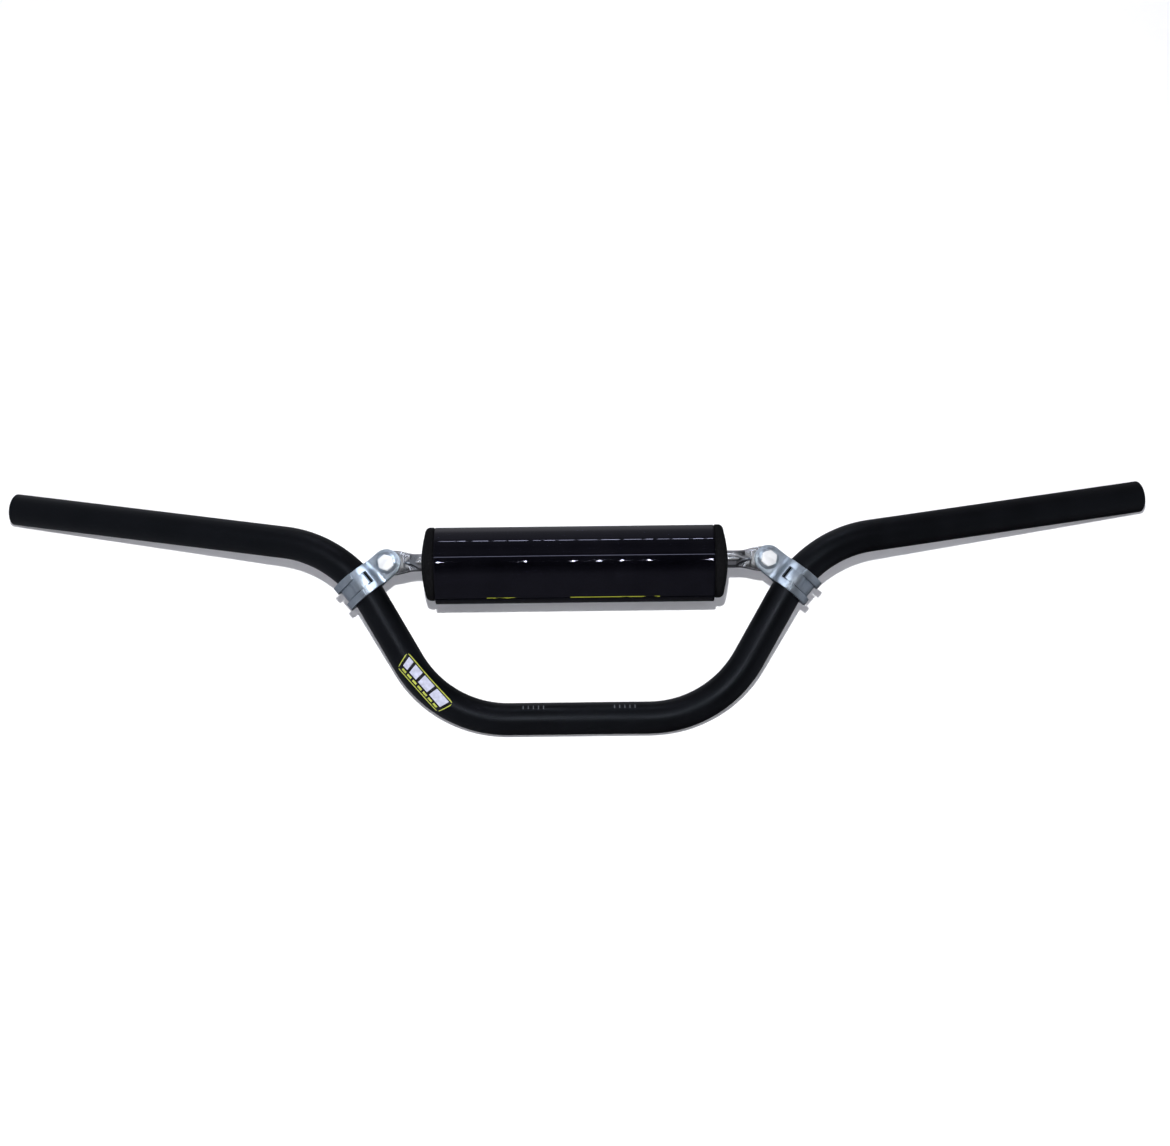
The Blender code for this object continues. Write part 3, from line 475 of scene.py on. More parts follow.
def anodisedAluminium(marks):
    # Black anodised aluminium, shot peened before the dye: a near black satin with a soft blue-grey highlight
    # and a fine grain that only shows in that highlight.
    material, tree, shader, place = newMaterial("black anodised aluminium")
    parts = addNode(tree, "SeparateXYZ", {"Vector": place})
    cloud = addNode(tree, "TexNoise", {"Vector": place, "Scale": 38.0, "Detail": 3.0})
    tone = addNode(tree, "ValToRGB", {"Fac": cloud}, ((0.35, "#030304"), (0.65, "#050507")))
    side = addNode(tree, "Math", {0: parts.outputs["X"]}, operation="ABSOLUTE")
    offset = addNode(tree, "Math", {0: side, 1: marks["start"]}, operation="SUBTRACT")
    steps = addNode(tree, "Math", {0: offset, 1: marks["pitch"]}, operation="DIVIDE")
    line = addNode(tree, "Math", {0: steps}, operation="FRACT")
    mark = addNode(tree, "Math", {0: parts.outputs["Y"], 1: 0.0}, operation="LESS_THAN")
    for value, middle, half in ((line, marks["lineHalf"], marks["lineHalf"]), (side, marks["middle"], marks["half"]),
                                (parts.outputs["Z"], marks["z"], marks["halfHeight"])):
        inside = addNode(tree, "Math", {0: value, 1: middle, 2: half}, operation="COMPARE")
        mark = addNode(tree, "Math", {0: mark, 1: inside}, operation="MULTIPLY")
    marked = addNode(tree, "Mix", {"Factor": mark, "A": tone, "B": linear(marks["tone"])}, data_type="RGBA")
    # peening dimples are about 0.2 mm, drawn at 0.6 mm so that they show
    grain = addNode(tree, "TexNoise", {"Vector": place, "Scale": 1600.0, "Detail": 2.0})
    rough = addNode(tree, "MapRange", spread(cloud, 0.38, 0.46))
    bump = addNode(tree, "Bump", {"Height": grain, "Strength": 0.25, "Distance": 0.00006})
    connect(tree, shader, {"Base Color": marked.outputs["Result"], "Roughness": rough, "Normal": bump,
                           "IOR": 1.45, "Specular Tint": linear("#dfe8f6")})
    return material


def chromedSteel():
    # Chromed drawn steel tube: a mirror with fine lengthwise draw lines, so reflections run as long streaks.
    material, tree, shader, place = newMaterial("chromed drawn steel")
    stretched = addNode(tree, "Mapping", {"Vector": place, "Scale": (8.0, 900.0, 900.0)})
    drawn = addNode(tree, "TexNoise", {"Vector": stretched, "Scale": 1.0, "Detail": 3.0})
    haze = addNode(tree, "TexNoise", {"Vector": place, "Scale": 120.0, "Detail": 3.0})
    tone = addNode(tree, "ValToRGB", {"Fac": haze}, ((0.3, "#d2d4d8"), (0.7, "#e6e7ea")))
    rough = addNode(tree, "MapRange", spread(haze, 0.16, 0.24))
    bump = addNode(tree, "Bump", {"Height": drawn, "Strength": 0.15, "Distance": 0.00008})
    connect(tree, shader, {"Base Color": tone, "Roughness": rough, "Normal": bump, "Metallic": 1.0})
    return material


def zincPlate(name, dark, pale, metal, roughLow, roughHigh):
    # Stamped steel with clear blue zinc plating: part mirror, part milky passivate, so it has a soft blue-grey
    # sheen with cloudy patches, and scatters the key light.
    material, tree, shader, place = newMaterial(name)
    cloud = addNode(tree, "TexNoise", {"Vector": place, "Scale": 170.0, "Detail": 4.0, "Roughness": 0.6})
    tone = addNode(tree, "ValToRGB", {"Fac": cloud}, ((0.3, dark), (0.7, pale)))
    rough = addNode(tree, "MapRange", spread(cloud, roughLow, roughHigh))
    grain = addNode(tree, "TexNoise", {"Vector": place, "Scale": 1400.0, "Detail": 2.0})
    bump = addNode(tree, "Bump", {"Height": grain, "Strength": 0.2, "Distance": 0.00005})
    connect(tree, shader, {"Base Color": tone, "Roughness": rough, "Normal": bump, "Metallic": metal})
    return material


def cellFoam():
    # Closed-cell rubber foam with its cut skin: dead matt black, pitted by burst cells.
    material, tree, shader, place = newMaterial("black closed-cell foam")
    # cells of 0.4 mm are drawn at about 0.9 mm so that they show
    cells = addNode(tree, "TexVoronoi", {"Vector": place, "Scale": 1100.0})
    lumps = addNode(tree, "TexNoise", {"Vector": place, "Scale": 160.0, "Detail": 4.0})
    # the tone follows the same cells as the bump, so the pits of the burst cells are painted darker: painted shade
    tone = addNode(tree, "ValToRGB", {"Fac": cells}, ((0.1, "#060607"), (0.7, "#0e0e10")))
    height = addNode(tree, "Math", {0: cells, 1: 0.5, 2: lumps}, operation="MULTIPLY_ADD")
    bump = addNode(tree, "Bump", {"Height": height, "Strength": 0.6, "Distance": 0.0004})
    connect(tree, shader, {"Base Color": tone, "Roughness": 0.92, "Normal": bump, "Specular IOR Level": 0.25})
    return material


def glossVinyl(stripe):
    # Calendered PVC: wet-looking black gloss in which thin lights run as slightly wavy lines. A worn yellow
    # pinstripe runs low along the front.
    material, tree, shader, place = newMaterial("black gloss vinyl")
    spot = addNode(tree, "UVMap", uv_map="sheet").outputs["UV"]
    parts = addNode(tree, "SeparateXYZ", {"Vector": spot})   # metres along, metres round
    cloud = addNode(tree, "TexNoise", {"Vector": place, "Scale": 60.0, "Detail": 3.0})
    tone = addNode(tree, "ValToRGB", {"Fac": cloud}, ((0.3, "#020204"), (0.7, "#050508")))
    runs = 0.0
    for low, high in stripe["runs"]:
        run = addNode(tree, "Math", {0: parts.outputs["X"], 1: (low + high) / 2, 2: (high - low) / 2},
                      operation="COMPARE")
        runs = addNode(tree, "Math", {0: runs, 1: run}, operation="MAXIMUM")
    line = addNode(tree, "Math", {0: parts.outputs["Y"], 1: math.radians(stripe["degrees"]) * coverRadius,
                                  2: stripe["width"] / 2}, operation="COMPARE")
    stretched = addNode(tree, "Mapping", {"Vector": spot, "Scale": (90.0, 600.0, 1.0)})
    worn = addNode(tree, "TexNoise", {"Vector": stretched, "Scale": 1.0, "Detail": 4.0})
    kept = addNode(tree, "Math", {0: worn, 1: 0.40}, operation="GREATER_THAN")
    mask = addNode(tree, "Math", {0: line, 1: kept}, operation="MULTIPLY")
    mask = addNode(tree, "Math", {0: mask, 1: runs}, operation="MULTIPLY")
    coloured = addNode(tree, "Mix", {"Factor": mask, "A": tone, "B": linear(stripe["tone"])}, data_type="RGBA")
    # long ripples: they bend a light up and down far more than along the pad
    stretched = addNode(tree, "Mapping", {"Vector": spot, "Scale": (4.0, 150.0, 1.0)})
    waves = addNode(tree, "TexNoise", {"Vector": stretched, "Scale": 1.0, "Detail": 1.0})
    bump = addNode(tree, "Bump", {"Height": waves, "Strength": 1.0, "Distance": 0.00004})
    rough = addNode(tree, "MapRange", spread(cloud, 0.018, 0.026))
    connect(tree, shader, {"Base Color": coloured.outputs["Result"], "Roughness": rough, "Normal": bump,
                           "IOR": 1.5, "Specular Tint": linear("#e4e4ff")})
    return material


def hookTape(name, dark, pale, scale):
    # Woven nylon hook or loop tape: fuzzy, matt, with rows of tiny tufts.
    material, tree, shader, place = newMaterial(name)
    tufts = addNode(tree, "TexVoronoi", {"Vector": place, "Scale": scale})
    # the tone follows the tufts: the gaps between them are painted darker than their tops, as painted shade
    tone = addNode(tree, "ValToRGB", {"Fac": tufts}, ((0.1, pale), (0.6, dark)))
    bump = addNode(tree, "Bump", {"Height": tufts, "Strength": 0.9, "Distance": 0.0003}, invert=True)
    connect(tree, shader, {"Base Color": tone, "Roughness": 0.95, "Normal": bump, "Sheen Weight": 0.3})
    return material


def printedFilm(fields, lime):
    # Screen-printed polyester film under clear laminate: flat colour fields with crisp edges and a soft gloss.
    material, tree, shader, place = newMaterial("printed polyester film")
    spot = addNode(tree, "UVMap", uv_map="print").outputs["UV"]
    parts = addNode(tree, "SeparateXYZ", {"Vector": spot})   # metres along and across the film
    tone = linear(lime)
    for low, high, bottom, top, colour in fields:
        mask = 1.0
        for value, start, end in ((parts.outputs["X"], low, high), (parts.outputs["Y"], bottom, top)):
            inside = addNode(tree, "Math", {0: value, 1: (start + end) / 2, 2: (end - start) / 2}, operation="COMPARE")
            mask = addNode(tree, "Math", {0: mask, 1: inside}, operation="MULTIPLY")
        tone = addNode(tree, "Mix", {"Factor": mask, "A": tone, "B": linear(colour)},
                       data_type="RGBA").outputs["Result"]
    dust = addNode(tree, "TexNoise", {"Vector": place, "Scale": 420.0, "Detail": 4.0})
    shade = addNode(tree, "ValToRGB", {"Fac": dust}, ((0.3, "#dcdcdc"), (0.7, "#ffffff")))
    aged = addNode(tree, "Mix", {"Factor": 1.0, "A": tone, "B": shade}, data_type="RGBA", blend_type="MULTIPLY")
    bump = addNode(tree, "Bump", {"Height": dust, "Strength": 0.1, "Distance": 0.00005})
    connect(tree, shader, {"Base Color": aged.outputs["Result"], "Roughness": 0.28, "Normal": bump})
    return material


# the bar's tube

def buildBarTube(shape):
    onlySelect(None)
    bpy.ops.mesh.primitive_circle_add(vertices=shape["sides"], radius=shape["radius"], fill_type="NOTHING",
                                      rotation=(0, math.radians(90), 0))
    tube = added("bar_tube")
    editPick(tube, "edges", lambda edge: True)
    for start, run, point, into, inward, radius in spans:
        if inward is None:
            bpy.ops.mesh.extrude_region_move(TRANSFORM_OT_translate={"value": into * run})
        else:
            turn = run / radius
            bpy.ops.mesh.spin(steps=round(math.degrees(turn) / shape["stepDegrees"]), angle=turn,
                              center=point + inward * radius, axis=inward.cross(into))
    bpy.ops.object.mode_set(mode="OBJECT")
    cleaned(tube)
    editPick(tube, "faces", lambda face: all(abs(vertex.co.x) < 1e-6 for vertex in face.verts))
    bpy.ops.mesh.delete(type="FACE")
    mirrored(tube)
    finishWith(tube, "SOLIDIFY", thickness=shape["wall"], offset=-1, use_even_offset=True, use_rim=True)
    return smoothed(bevelled(tube, shape["endRounding"], 3))


dress(buildBarTube(barTube), anodisedAluminium(laserMarks), "tube", "handlebar_tube")
print("bar tube")


# clamp places

clampShape = {
    "intoBend": 0.0143, "strap": 0.019, "boltOffset": 0.0237, "plate": 0.002, "gap": 0.0003,
    "crossbarWall": 0.0014, "slit": 0.0005,
}


def clampPlace(shape):
    middle = spans[3][0] + shape["intoBend"]
    centre, tangent, front, toBolt = tubeFrame(middle)
    chord = (along(middle - shape["strap"] / 2)[0] + along(middle + shape["strap"] / 2)[0]) / 2
    centre = (centre + chord) / 2
    return centre + toBolt * shape["boltOffset"], front, toBolt


boltCentre, clampFront, clampToBolt = clampPlace(clampShape)
flatHalf = clampShape["crossbarWall"] + clampShape["slit"] / 2
earOuter = flatHalf + clampShape["gap"] + clampShape["plate"]


def boltFrame(side):
    # turns a piece made round +Z at the origin onto the bolt's axis, on the right (1) or the left (-1)
    axis = Vector((side * clampFront.x, clampFront.y, clampFront.z))
    first = Vector((side * clampToBolt.x, clampToBolt.y, clampToBolt.z))
    second = axis.cross(first)
    turn = Matrix((first, second, axis)).transposed().to_4x4()
    return Matrix.Translation((side * boltCentre.x, boltCentre.y, boltCentre.z)) @ turn


# clamps, each of two stamped plates

clampLook = {"edge": 0.00028, "segments": 3, "washerEdge": 0.0002}
zinc = zincPlate("blue zinc plated steel", "#b0bcc9", "#c6d1dc", 0.92, 0.30, 0.36)
zincBolt = zincPlate("bright zinc plated steel", "#e6e8ea", "#f0f1f2", 0.50, 0.36, 0.42)

for node in ("clamp_front_left", "clamp_front_right", "clamp_rear_left", "clamp_rear_right"):
    plate = nodeCopy(node, node.replace("clamp_", "plate_"))
    bevelled(plate, clampLook["edge"], clampLook["segments"], use_clamp_overlap=True)
    dress(smoothed(plate), zinc, "clamp", node)

for node in ("clamp_washer_left", "clamp_washer_right"):
    ring = nodeCopy(node, node.replace("clamp_", "split_"))
    dress(smoothed(bevelled(ring, clampLook["washerEdge"])), zinc, "washer", node)
print("clamp plates and washers")


# flange bolts and nuts

boltShape = {
    "flats": 0.010, "head": 0.0058, "nut": 0.005, "washer": 0.0016, "beyondNut": 0.0018, "headEdge": 0.00012,
    "nutEdge": 0.00015, "nutBoreDepth": 0.02, "sinkOver": 0.0005, "sink": 0.0006,
    # the cone that turns the corners off
    "coneShare": 0.96, "coneDepth": 0.02, "coneSlope": 1.73,
    # the flange, and where the darker metal, painted shade round the head, starts and ends
    "flangeRadius": 0.0071, "flange": 0.0011, "flangeRise": 0.0009, "flangeTop": 0.74, "flangeEdge": 0.0002,
    "paintedShadeFrom": 0.0053, "paintedShadeTo": earOuter + 0.0024,
    "shank": 0.003, "intoHead": 0.0002, "pitch": 0.001, "threadDepth": 0.0005, "threadRun": 0.0080,
    "threadCuts": 63, "grooveHalf": 0.38, "grooveFill": 1.15, "tipTaper": 0.16, "tipRun": 0.0006,
}


def hexPrism(name, bottom, top, shape):
    return cylinder(name, 6, shape["flats"] / 2 / math.cos(math.radians(30)), bottom, top,
                    rotation=(0, 0, math.radians(30)))


def turnedCone(low, lowRadius, high, highRadius):
    onlySelect(None)
    bpy.ops.mesh.primitive_cone_add(vertices=64, radius1=lowRadius, radius2=highRadius, depth=high - low,
                                    location=(0, 0, (high + low) / 2))
    return added("turned_tool")


def cornersTurned(piece, face, shape, away=-1):
    # the hexagon's corners are turned off by a cone, narrow at the face and wider below (-1) or above (1) it
    narrow = shape["flats"] / 2 * shape["coneShare"]
    wide = narrow + shape["coneDepth"] * shape["coneSlope"]
    low, high = sorted(((face, narrow), (face + away * shape["coneDepth"], wide)))
    cutWith(piece, turnedCone(*low, *high), "INTERSECT")


def buildBolt(shape):
    seat = earOuter + clampShape["gap"]
    top = seat + shape["head"]
    end = -(earOuter + 2 * clampShape["gap"] + shape["washer"] + shape["nut"] + shape["beyondNut"])
    head = hexPrism("flange_bolt", seat + shape["flange"] / 2, top, shape)
    cornersTurned(head, top, shape)
    # flange: a disc with a sloped top
    flange = cylinder("flange", 64, shape["flangeRadius"], seat, seat + shape["flange"])
    editPick(flange, "faces", lambda face: face.normal.z > 0.9)
    bpy.ops.mesh.extrude_region_move(TRANSFORM_OT_translate={"value": (0, 0, shape["flangeRise"])})
    bpy.ops.transform.resize(value=(shape["flangeTop"], shape["flangeTop"], 1))
    cutWith(head, bevelled(flange, shape["flangeEdge"]), "UNION")
    # shank, with a rolled thread at its end
    shank = cylinder("shank", 40, shape["shank"], end, seat + shape["intoHead"])
    editPick(shank, "faces", lambda face: face.normal.z < -0.9)
    bpy.ops.transform.translate(value=(0, 0, shape["threadRun"]))
    bpy.ops.mesh.extrude_region_move(TRANSFORM_OT_translate={"value": (0, 0, -shape["threadRun"])})
    editPick(shank, "edges", lambda edge: min(vertex.co.z for vertex in edge.verts) < end + 1e-5
             and abs(edge.verts[0].co.z - edge.verts[1].co.z) > 0.9 * shape["threadRun"])
    bpy.ops.mesh.subdivide(number_cuts=shape["threadCuts"])
    bpy.ops.object.mode_set(mode="OBJECT")
    for vertex in shank.data.vertices:
        up = vertex.co.z - end
        flat = Vector((vertex.co.x, vertex.co.y, 0))
        if up < shape["threadRun"] - 1e-5 and flat.length > 1e-6:
            phase = (up / shape["pitch"] - math.atan2(flat.y, flat.x) / (2 * math.pi)) % 1.0
            groove = max(0.0, 1 - abs(phase - 0.5) / shape["grooveHalf"])
            taper = 1 - shape["tipTaper"] * max(0.0, 1 - up / shape["tipRun"])
            radius = (shape["shank"] - shape["threadDepth"] * min(1.0, groove * shape["grooveFill"])) * taper
            flat = flat.normalized() * radius
            vertex.co.x, vertex.co.y = flat.x, flat.y
    cutWith(head, shank, "UNION")
    return bevelled(head, shape["headEdge"], degrees=42, use_clamp_overlap=True)


def buildNut(shape):
    near = earOuter + 2 * clampShape["gap"] + shape["washer"]
    far = near + shape["nut"]
    nut = hexPrism("hex_nut", -far, -near, shape)
    cornersTurned(nut, -far, shape, 1)
    cornersTurned(nut, -near, shape)
    bore = shape["shank"] + clampShape["gap"]
    middle, half = -(near + far) / 2, shape["nutBoreDepth"] / 2
    cutWith(nut, cylinder("drill", 48, bore, middle - half, middle + half))
    cutWith(nut, turnedCone(-far - shape["sinkOver"], bore + shape["sinkOver"] + shape["sink"], -far + shape["sink"],
                            bore))
    return bevelled(nut, shape["nutEdge"], degrees=42, use_clamp_overlap=True)


bolt = buildBolt(boltShape)
nut = buildNut(boltShape)
for side, word in ((-1, "left"), (1, "right")):
    twin = copied(bolt, "flange_bolt_" + word, boltFrame(side))
    dress(smoothed(twin, 38), zincBolt, "fastener", "clamp_bolt_" + word)
    twin.data.materials.append(zinc)     # the flange gets the darker blue zinc, as painted shade round the head
    for pattern, face in zip(bolt.data.polygons, twin.data.polygons):
        outer = pattern.center.xy.length > boltShape["paintedShadeFrom"]
        face.material_index = int(outer and earOuter < pattern.center.z < boltShape["paintedShadeTo"])
    twin = copied(nut, "hex_nut_" + word, boltFrame(side))
    dress(smoothed(twin, 38), zincBolt, "fastener", "clamp_nut_" + word)
for tool in (bolt, nut):
    bpy.data.objects.remove(tool)
print("bolts and nuts")


# crossbar: a round tube crushed flat at both ends

crossbar = {
    "diameter": 0.012, "flatWidth": 0.017, "ridgeStart": 0.022, "ridgeTip": 0.012, "flareStart": 0.020,
    "flareEnd": 0.005, "crease": 30.0, "ridgeTipWidth": 0.0012, "tipRadius": 0.0082, "quarterSteps": 12,
    "holeRadius": 0.0033, "drillHalf": 0.015,
}
crossbarRun = (Vector((1, 0, 0)) - clampFront * clampFront.x).normalized()    # along its flat end
straightEnd = boltCentre - crossbarRun * crossbar["ridgeStart"]


def ease(share):
    share = min(max(share, 0.0), 1.0)
    return share * share * (3 - 2 * share)


def mixed(low, high, share):
    return low + (high - low) * share


def crushedOutline(shape, halfWidth, crease, creaseHeight, ridge):
    # a full turn of (across, up) points, starting at the right-hand edge
    radius = shape["diameter"] / 2
    angle = math.radians(shape["crease"])
    flatness = ease((halfWidth - radius) / (shape["flatWidth"] / 2 - radius))
    edge = min(creaseHeight, halfWidth)
    steps = shape["quarterSteps"]
    quarter = []
    for index in range(steps):
        share = index / steps
        turn = angle * share
        bow = math.pi / 2 * share
        blend = max(flatness, 1 - crease / (radius * math.cos(angle)))
        quarter.append((mixed(halfWidth - radius + radius * math.cos(turn),
                              halfWidth - edge + edge * math.cos(bow), blend),
                        mixed(radius * math.sin(turn), edge * math.sin(bow), blend)))
    for index in range(steps + 1):
        turn = mixed(angle, math.pi / 2, index / steps)
        rise = (math.sin(turn) - math.sin(angle)) / (1 - math.sin(angle))
        quarter.append((crease * math.cos(turn) / math.cos(angle), mixed(creaseHeight, ridge, rise)))
    upper = quarter + [(-x, y) for x, y in reversed(quarter[:-1])]
    return upper + [(x, -y) for x, y in reversed(upper[1:-1])]


def buildCrossbar(shape):
    radius = shape["diameter"] / 2
    angle = math.radians(shape["crease"])
    sides = 8 * shape["quarterSteps"]
    # how far each ring lies back from the bolt: the round run, the ridges, the flat and the rounded tip
    backs = [boltCentre.x, 0.10, 0.075, 0.05, 0.035, 0.028]
    backs += [shape["ridgeStart"] + 0.001 - 0.0005 * index for index in range(23)]
    backs += [0.011 - 0.00075 * index for index in range(15)]
    backs += [-shape["tipRadius"] * math.sin(math.radians(turn)) for turn in (10, 20, 30, 40, 50, 60, 68, 75, 81, 86)]
    # a plain rod of as many rings, then every ring is pressed to its outline
    rod = cylinder("crossbar_rod", sides, radius, 0, len(backs) - 1)
    editPick(rod, "edges", lambda item: abs(item.verts[0].co.z - item.verts[1].co.z) > 0.5)
    bpy.ops.mesh.subdivide(number_cuts=len(backs) - 2)
    editPick(rod, "faces", lambda face: face.normal.z < -0.9 and face.calc_center_median().z < 0.5)
    bpy.ops.mesh.delete(type="ONLY_FACE")
    bpy.ops.object.mode_set(mode="OBJECT")
    outlines = []
    for back in backs:
        narrow = min(max((shape["ridgeStart"] - back) / (shape["ridgeStart"] - shape["ridgeTip"]), 0.0), 1.0)
        flare = ease((shape["flareStart"] - back) / (shape["flareStart"] - shape["flareEnd"]))
        halfWidth = mixed(radius, shape["flatWidth"] / 2, flare)
        if back < 0:
            halfWidth = math.sqrt(shape["tipRadius"] ** 2 - back ** 2)
        crease = mixed(radius * math.cos(angle), shape["ridgeTipWidth"] / 2, narrow)
        crease = min(crease, halfWidth / 2) if back <= shape["ridgeTip"] else crease
        creaseHeight = mixed(radius * math.sin(angle), flatHalf, ease(2 * narrow))
        ridge = mixed(radius, flatHalf, narrow * narrow)
        normal = Vector((0, -1, 0)).lerp(clampFront, ease(narrow)).normalized()
        if back > shape["ridgeStart"]:
            centre, heading = Vector((boltCentre.x - back, straightEnd.y, straightEnd.z)), Vector((1, 0, 0))
        else:
            centre, heading = boltCentre - crossbarRun * back, crossbarRun
        across = normal.cross(heading)
        outline = crushedOutline(shape, halfWidth, crease, creaseHeight, ridge)
        outlines.append([centre + across * x + normal * y for x, y in outline])
    for vertex in rod.data.vertices:
        ring = round(vertex.co.z)
        spoke = round(math.atan2(vertex.co.y, vertex.co.x) / (2 * math.pi) * sides) % sides
        vertex.co = outlines[ring][spoke]
    cleaned(rod)
    mirrored(rod)
    for side in (-1, 1):
        drill = cylinder("drill", 48, shape["holeRadius"], -shape["drillHalf"], shape["drillHalf"])
        cutWith(rod, placed(drill, boltFrame(side)))
    return smoothed(rod, 45)


dress(buildCrossbar(crossbar), chromedSteel(), "crossbar", "crossbar_tube")
print("crossbar")


# foam pad

padLow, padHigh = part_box("pad_foam")
coverLow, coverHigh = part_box("pad_cover")
padAt = (padLow + padHigh) / 2
foamPad = {
    "rim": (padHigh.z - padLow.z) / 2, "dome": 0.003, "edge": 0.0036, "squeeze": 0.0013, "gap": 0.0003,
    "sides": 120, "boreLength": 0.3, "slitDegrees": 215, "blade": (0.3, 0.03, 0.0009), "bladeOut": 0.0195,
    "rimAlong": (padHigh.x - padLow.x) / 2 - 0.00275, "coverAlong": (coverHigh.x - coverLow.x) / 2,
}


def buildFoam(shape):
    rim, edge = shape["rim"], shape["edge"]
    domeEdge, edgeAlong = rim - edge, shape["rimAlong"] - edge
    profile = []
    for index in range(9):
        radius = domeEdge * index / 8
        profile.append((shape["rimAlong"] + shape["dome"] * (1 - (radius / domeEdge) ** 2), radius))
    for index in range(1, 9):
        turn = math.pi / 2 * index / 8
        profile.append((edgeAlong + edge * math.cos(turn), domeEdge + edge * math.sin(turn)))
    for share in (0.3, 0.55, 0.7, 0.8, 0.88, 0.94, 1.0):
        profile.append((mixed(edgeAlong, shape["coverAlong"] + shape["gap"], share),
                        mixed(rim, rim - shape["squeeze"], share ** 7)))
    profile += [(along, rim - shape["squeeze"]) for along in (shape["coverAlong"] / 2, 0.0)]
    # the half outline starts as one point, is extruded along and then spun round the pad's axis
    onlySelect(None)
    bpy.ops.mesh.primitive_plane_add(size=0.001)
    foam = added("foam_pad")
    editPick(foam, "verts", lambda vertex: vertex.index > 0)
    bpy.ops.mesh.delete(type="VERT")
    onlySelect(foam)
    foam.data.vertices[0].co = Vector((profile[0][0], 0, profile[0][1]))
    editPick(foam, "verts", lambda vertex: True)
    for here, there in zip(profile, profile[1:]):
        bpy.ops.mesh.extrude_vertices_move(
            TRANSFORM_OT_translate={"value": (there[0] - here[0], 0, there[1] - here[1])})
    bpy.ops.mesh.select_all(action="SELECT")
    bpy.ops.mesh.spin(steps=shape["sides"], angle=2 * math.pi, center=(0, 0, 0), axis=(1, 0, 0))
    cleaned(foam, 1e-5)
    mirrored(foam, 1e-5)
    placed(foam, Matrix.Translation(padAt))
    # the bore follows the crossbar, and the slit lets the pad be pushed over it
    onlySelect(None)
    bpy.ops.mesh.primitive_cylinder_add(vertices=64, radius=crossbar["diameter"] / 2 + shape["gap"],
                                        depth=shape["boreLength"], location=(0, straightEnd.y, straightEnd.z),
                                        rotation=(0, math.radians(90), 0))
    cutWith(foam, added("bore"))
    angle = math.radians(shape["slitDegrees"])
    outward = Vector((0, -math.cos(angle), math.sin(angle)))
    onlySelect(None)
    bpy.ops.mesh.primitive_cube_add(size=1, location=padAt + outward * shape["bladeOut"],
                                    rotation=(math.atan2(outward.z, outward.y), 0, 0))
    bpy.context.object.scale = shape["blade"]
    cutWith(foam, added("slit_blade"))
    return smoothed(foam)


foam = dress(buildFoam(foamPad), cellFoam(), "foam", "pad_foam")
print("foam pad")


# vinyl cover and its closure

cover = {
    "thickness": 0.0008, "stripWidth": 0.016, "strip": 0.00045, "gap": 0.0003, "closure": 270.0, "margin": 4.0,
    "ramp": 20.0, "inset": 0.002, "wave": 0.00003,
    "stripe": {"degrees": -60, "width": 0.0007, "runs": ((-0.060, -0.0385), (-0.003, 0.058)), "tone": "#80852a"},
}
foamRadius = foamPad["rim"] - foamPad["squeeze"]
coverRadius = foamRadius + cover["gap"]
loopRadius = coverRadius + cover["thickness"] + cover["gap"]
hookRadius = loopRadius + cover["strip"] + cover["gap"]
flapRadius = hookRadius + cover["strip"] + cover["gap"]


def shapedGrid(name, acrossCuts, upCuts, uvName, moved):
    # a flat grid whose points are moved one by one; moved gives a point's metres on the sheet and its new place
    onlySelect(None)
    bpy.ops.mesh.primitive_grid_add(x_subdivisions=acrossCuts, y_subdivisions=upCuts, size=1)
    piece = added(name)
    uv = piece.data.uv_layers[0]
    uv.name = uvName
    spots = {}
    for vertex in piece.data.vertices:
        spots[vertex.index], vertex.co = moved(vertex.co)
    for loop in piece.data.loops:
        uv.data[loop.index].uv = spots[loop.vertex_index]
    return piece


def wrappedSheet(name, rows, reach, acrossCuts, thickness, uvName, wave=0.0):
    # a sheet rolled round the pad's axis; rows are (angle, middle radius), front is 0 and up a quarter turn
    def rolled(flat):
        x = mixed(-reach, reach, flat.x + 0.5)
        angle, radius = rows[round((flat.y + 0.5) * (len(rows) - 1))]
        if wave:
            radius += wave * noise.noise(Vector((x * 2, angle * 3.0, 3.0)))
        place = Vector((padAt.x + x, padAt.y - math.cos(angle) * radius, padAt.z + math.sin(angle) * radius))
        return (x, angle * coverRadius), place

    sheet = shapedGrid(name, acrossCuts, len(rows) - 1, uvName, rolled)
    finishWith(sheet, "SOLIDIFY", thickness=thickness, offset=0, use_even_offset=True, use_rim=True)
    cleaned(sheet)
    return smoothed(bevelled(sheet, thickness * 0.3))


def anglesBetween(start, end, step):
    count = max(1, math.ceil(abs(end - start) / step))
    return [start + (end - start) * index / count for index in range(count + 1)]


halfStrip = cover["stripWidth"] / 2 / loopRadius
closure = math.radians(cover["closure"])
margin = math.radians(cover["margin"])
innerEnd = closure + halfStrip + margin
flapEnd = closure - halfStrip - margin - 2 * math.pi
rampEnd = innerEnd - 2 * math.pi + margin
rampStart = rampEnd + math.radians(cover["ramp"])
middle = cover["thickness"] / 2
coverRows = []
for angle in anglesBetween(innerEnd, flapEnd, math.radians(2)):
    share = ease((rampStart - angle) / (rampStart - rampEnd))
    coverRows.append((angle, mixed(coverRadius, flapRadius, share) + middle))

sheet = wrappedSheet("vinyl_cover", coverRows, foamPad["coverAlong"], 150, cover["thickness"], "sheet", cover["wave"])
dress(sheet, glossVinyl(cover["stripe"]), "vinyl", "pad_cover")

for node, name, radius, tape in (
        ("pad_loop_strip", "loop_tape", loopRadius, hookTape("nylon loop tape", "#0c0c0d", "#1c1c1e", 1500.0)),
        ("pad_hook_strip", "hook_tape", hookRadius, hookTape("nylon hook tape", "#101011", "#242426", 1100.0))):
    rows = [(angle, radius + cover["strip"] / 2)
            for angle in anglesBetween(closure - halfStrip, closure + halfStrip, math.radians(2))]
    strip = wrappedSheet(name, rows, foamPad["coverAlong"] - cover["inset"], 120, cover["strip"], "tape")
    dress(strip, tape, "closure", node)
print("cover and closure")


# printed film on the left lower bend

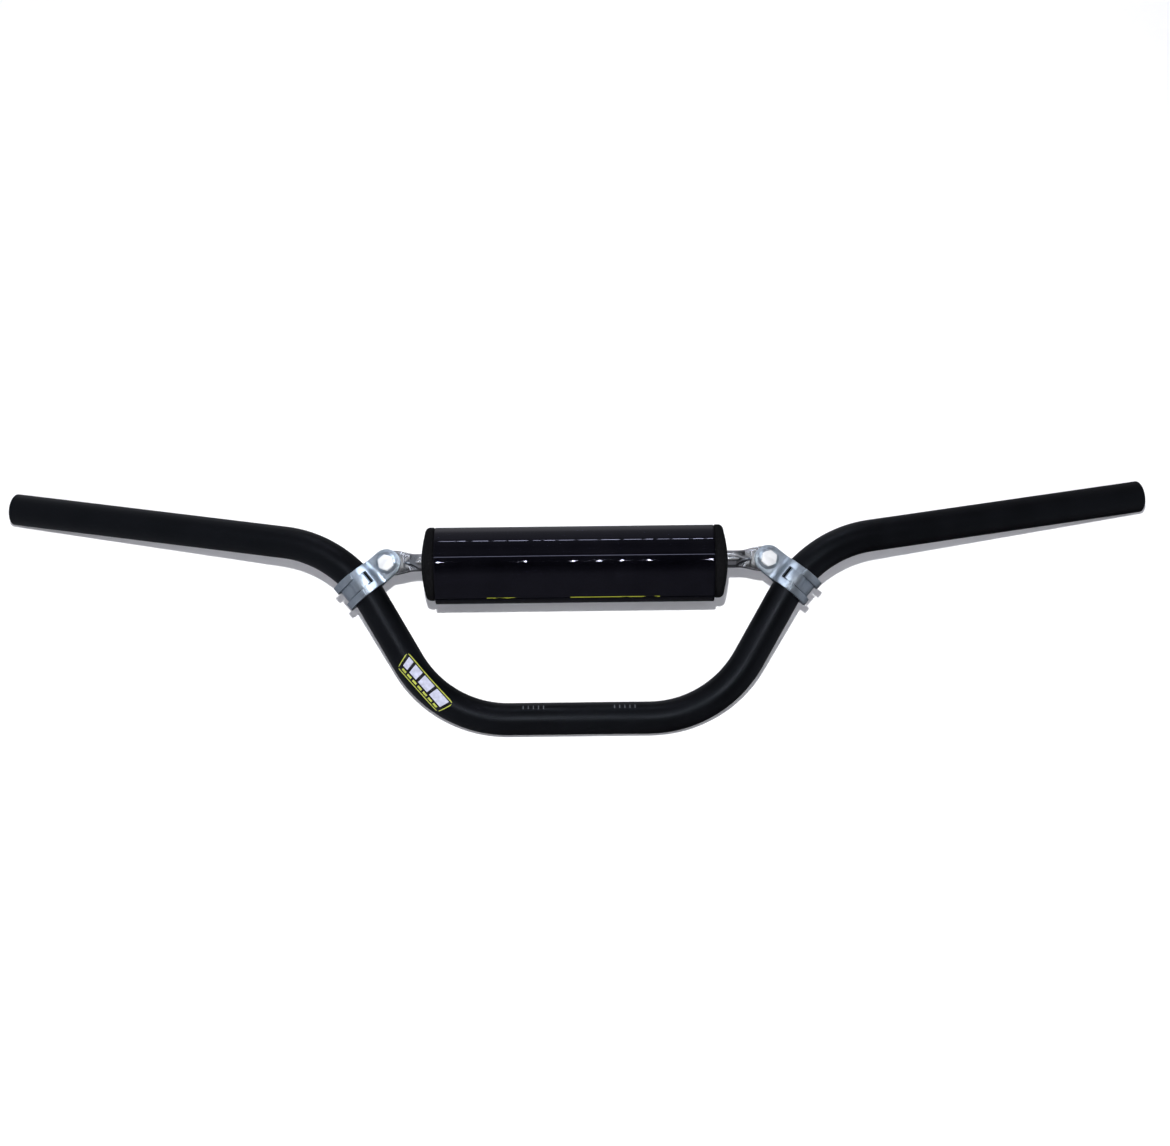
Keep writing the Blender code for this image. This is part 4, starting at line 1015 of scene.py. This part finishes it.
film = {
    "thickness": 0.0003, "length": 0.0455, "width": 0.0125, "centre": 0.1132, "turn": 1.8, "tilt": -2.2,
    "border": 0.0007, "corner": 0.0030, "gap": 0.0003, "ground": "#101016", "lime": "#a9b24a",
    # rows of blocks: their lengths, the space between them, the row's offset, its width and its colour
    "rows": (((0.012, 0.0095, 0.007, 0.0045), 0.0022, 0.0014, 0.0066, "#b4b7cb"),
             ((0.0040,) * 7, 0.0016, -0.0038, 0.0014, "#a9b24a")),
}


def filmFields(shape):
    # rectangles in metres from the film's middle: the ground, then the rows
    halfLong, halfWide = shape["length"] / 2 - shape["border"], shape["width"] / 2 - shape["border"]
    fields = [(-halfLong, halfLong, -halfWide, halfWide, shape["ground"])]
    for lengths, space, offset, width, tone in shape["rows"]:
        low = -(sum(lengths) + space * (len(lengths) - 1)) / 2
        for length in lengths:
            fields.append((low, low + length, offset - width / 2, offset + width / 2, tone))
            low += length + space
    return fields


def buildFilm(shape):
    seat = barTube["radius"] + shape["gap"]
    height = seat + shape["thickness"] / 2
    bend = tubeRoute["lowerBend"]
    tilt = math.radians(shape["tilt"])
    square = Vector((shape["length"] / 2 - shape["corner"], shape["width"] / 2 - shape["corner"]))

    def laid(flat):
        x, y = flat.x * shape["length"], flat.y * shape["width"]
        # the corners are rounded by drawing the outermost points in along the edge
        over = Vector((abs(x) - square.x, abs(y) - square.y))
        if over.x > 0 and over.y > 0 and over.length > 1e-9:
            shrink = max(over.x, over.y) / over.length
            x -= math.copysign(over.x * (1 - shrink), x)
            y -= math.copysign(over.y * (1 - shrink), y)
        # laid straight while the tube bends away from under it
        lean = tilt + x / bend
        run = bend * (math.sin(lean) - math.sin(tilt)) + y * math.sin(lean)
        rise = bend * (math.cos(lean) - math.cos(tilt)) + y * math.cos(lean)
        turn = math.radians(shape["turn"]) + rise / seat
        distance = shape["centre"] + run * bend / (bend - seat * math.sin(turn))
        point, tangent, front, inner = tubeFrame(distance)
        place = point + (front * math.cos(turn) + inner * math.sin(turn)) * height
        return (x, y), Vector((-place.x, place.y, place.z))

    piece = shapedGrid("printed_film", 60, 20, "print", laid)
    cleaned(piece)
    finishWith(piece, "SOLIDIFY", thickness=shape["thickness"], offset=0, use_rim=True)
    return smoothed(cleaned(piece))


dress(buildFilm(film), printedFilm(filmFields(film), film["lime"]), "decal", "decal_left")
print("printed film")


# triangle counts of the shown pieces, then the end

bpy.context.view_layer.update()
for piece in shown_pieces():
    print(piece.name, sum(len(face.vertices) - 2 for face in piece.data.polygons))
onlySelect(None)
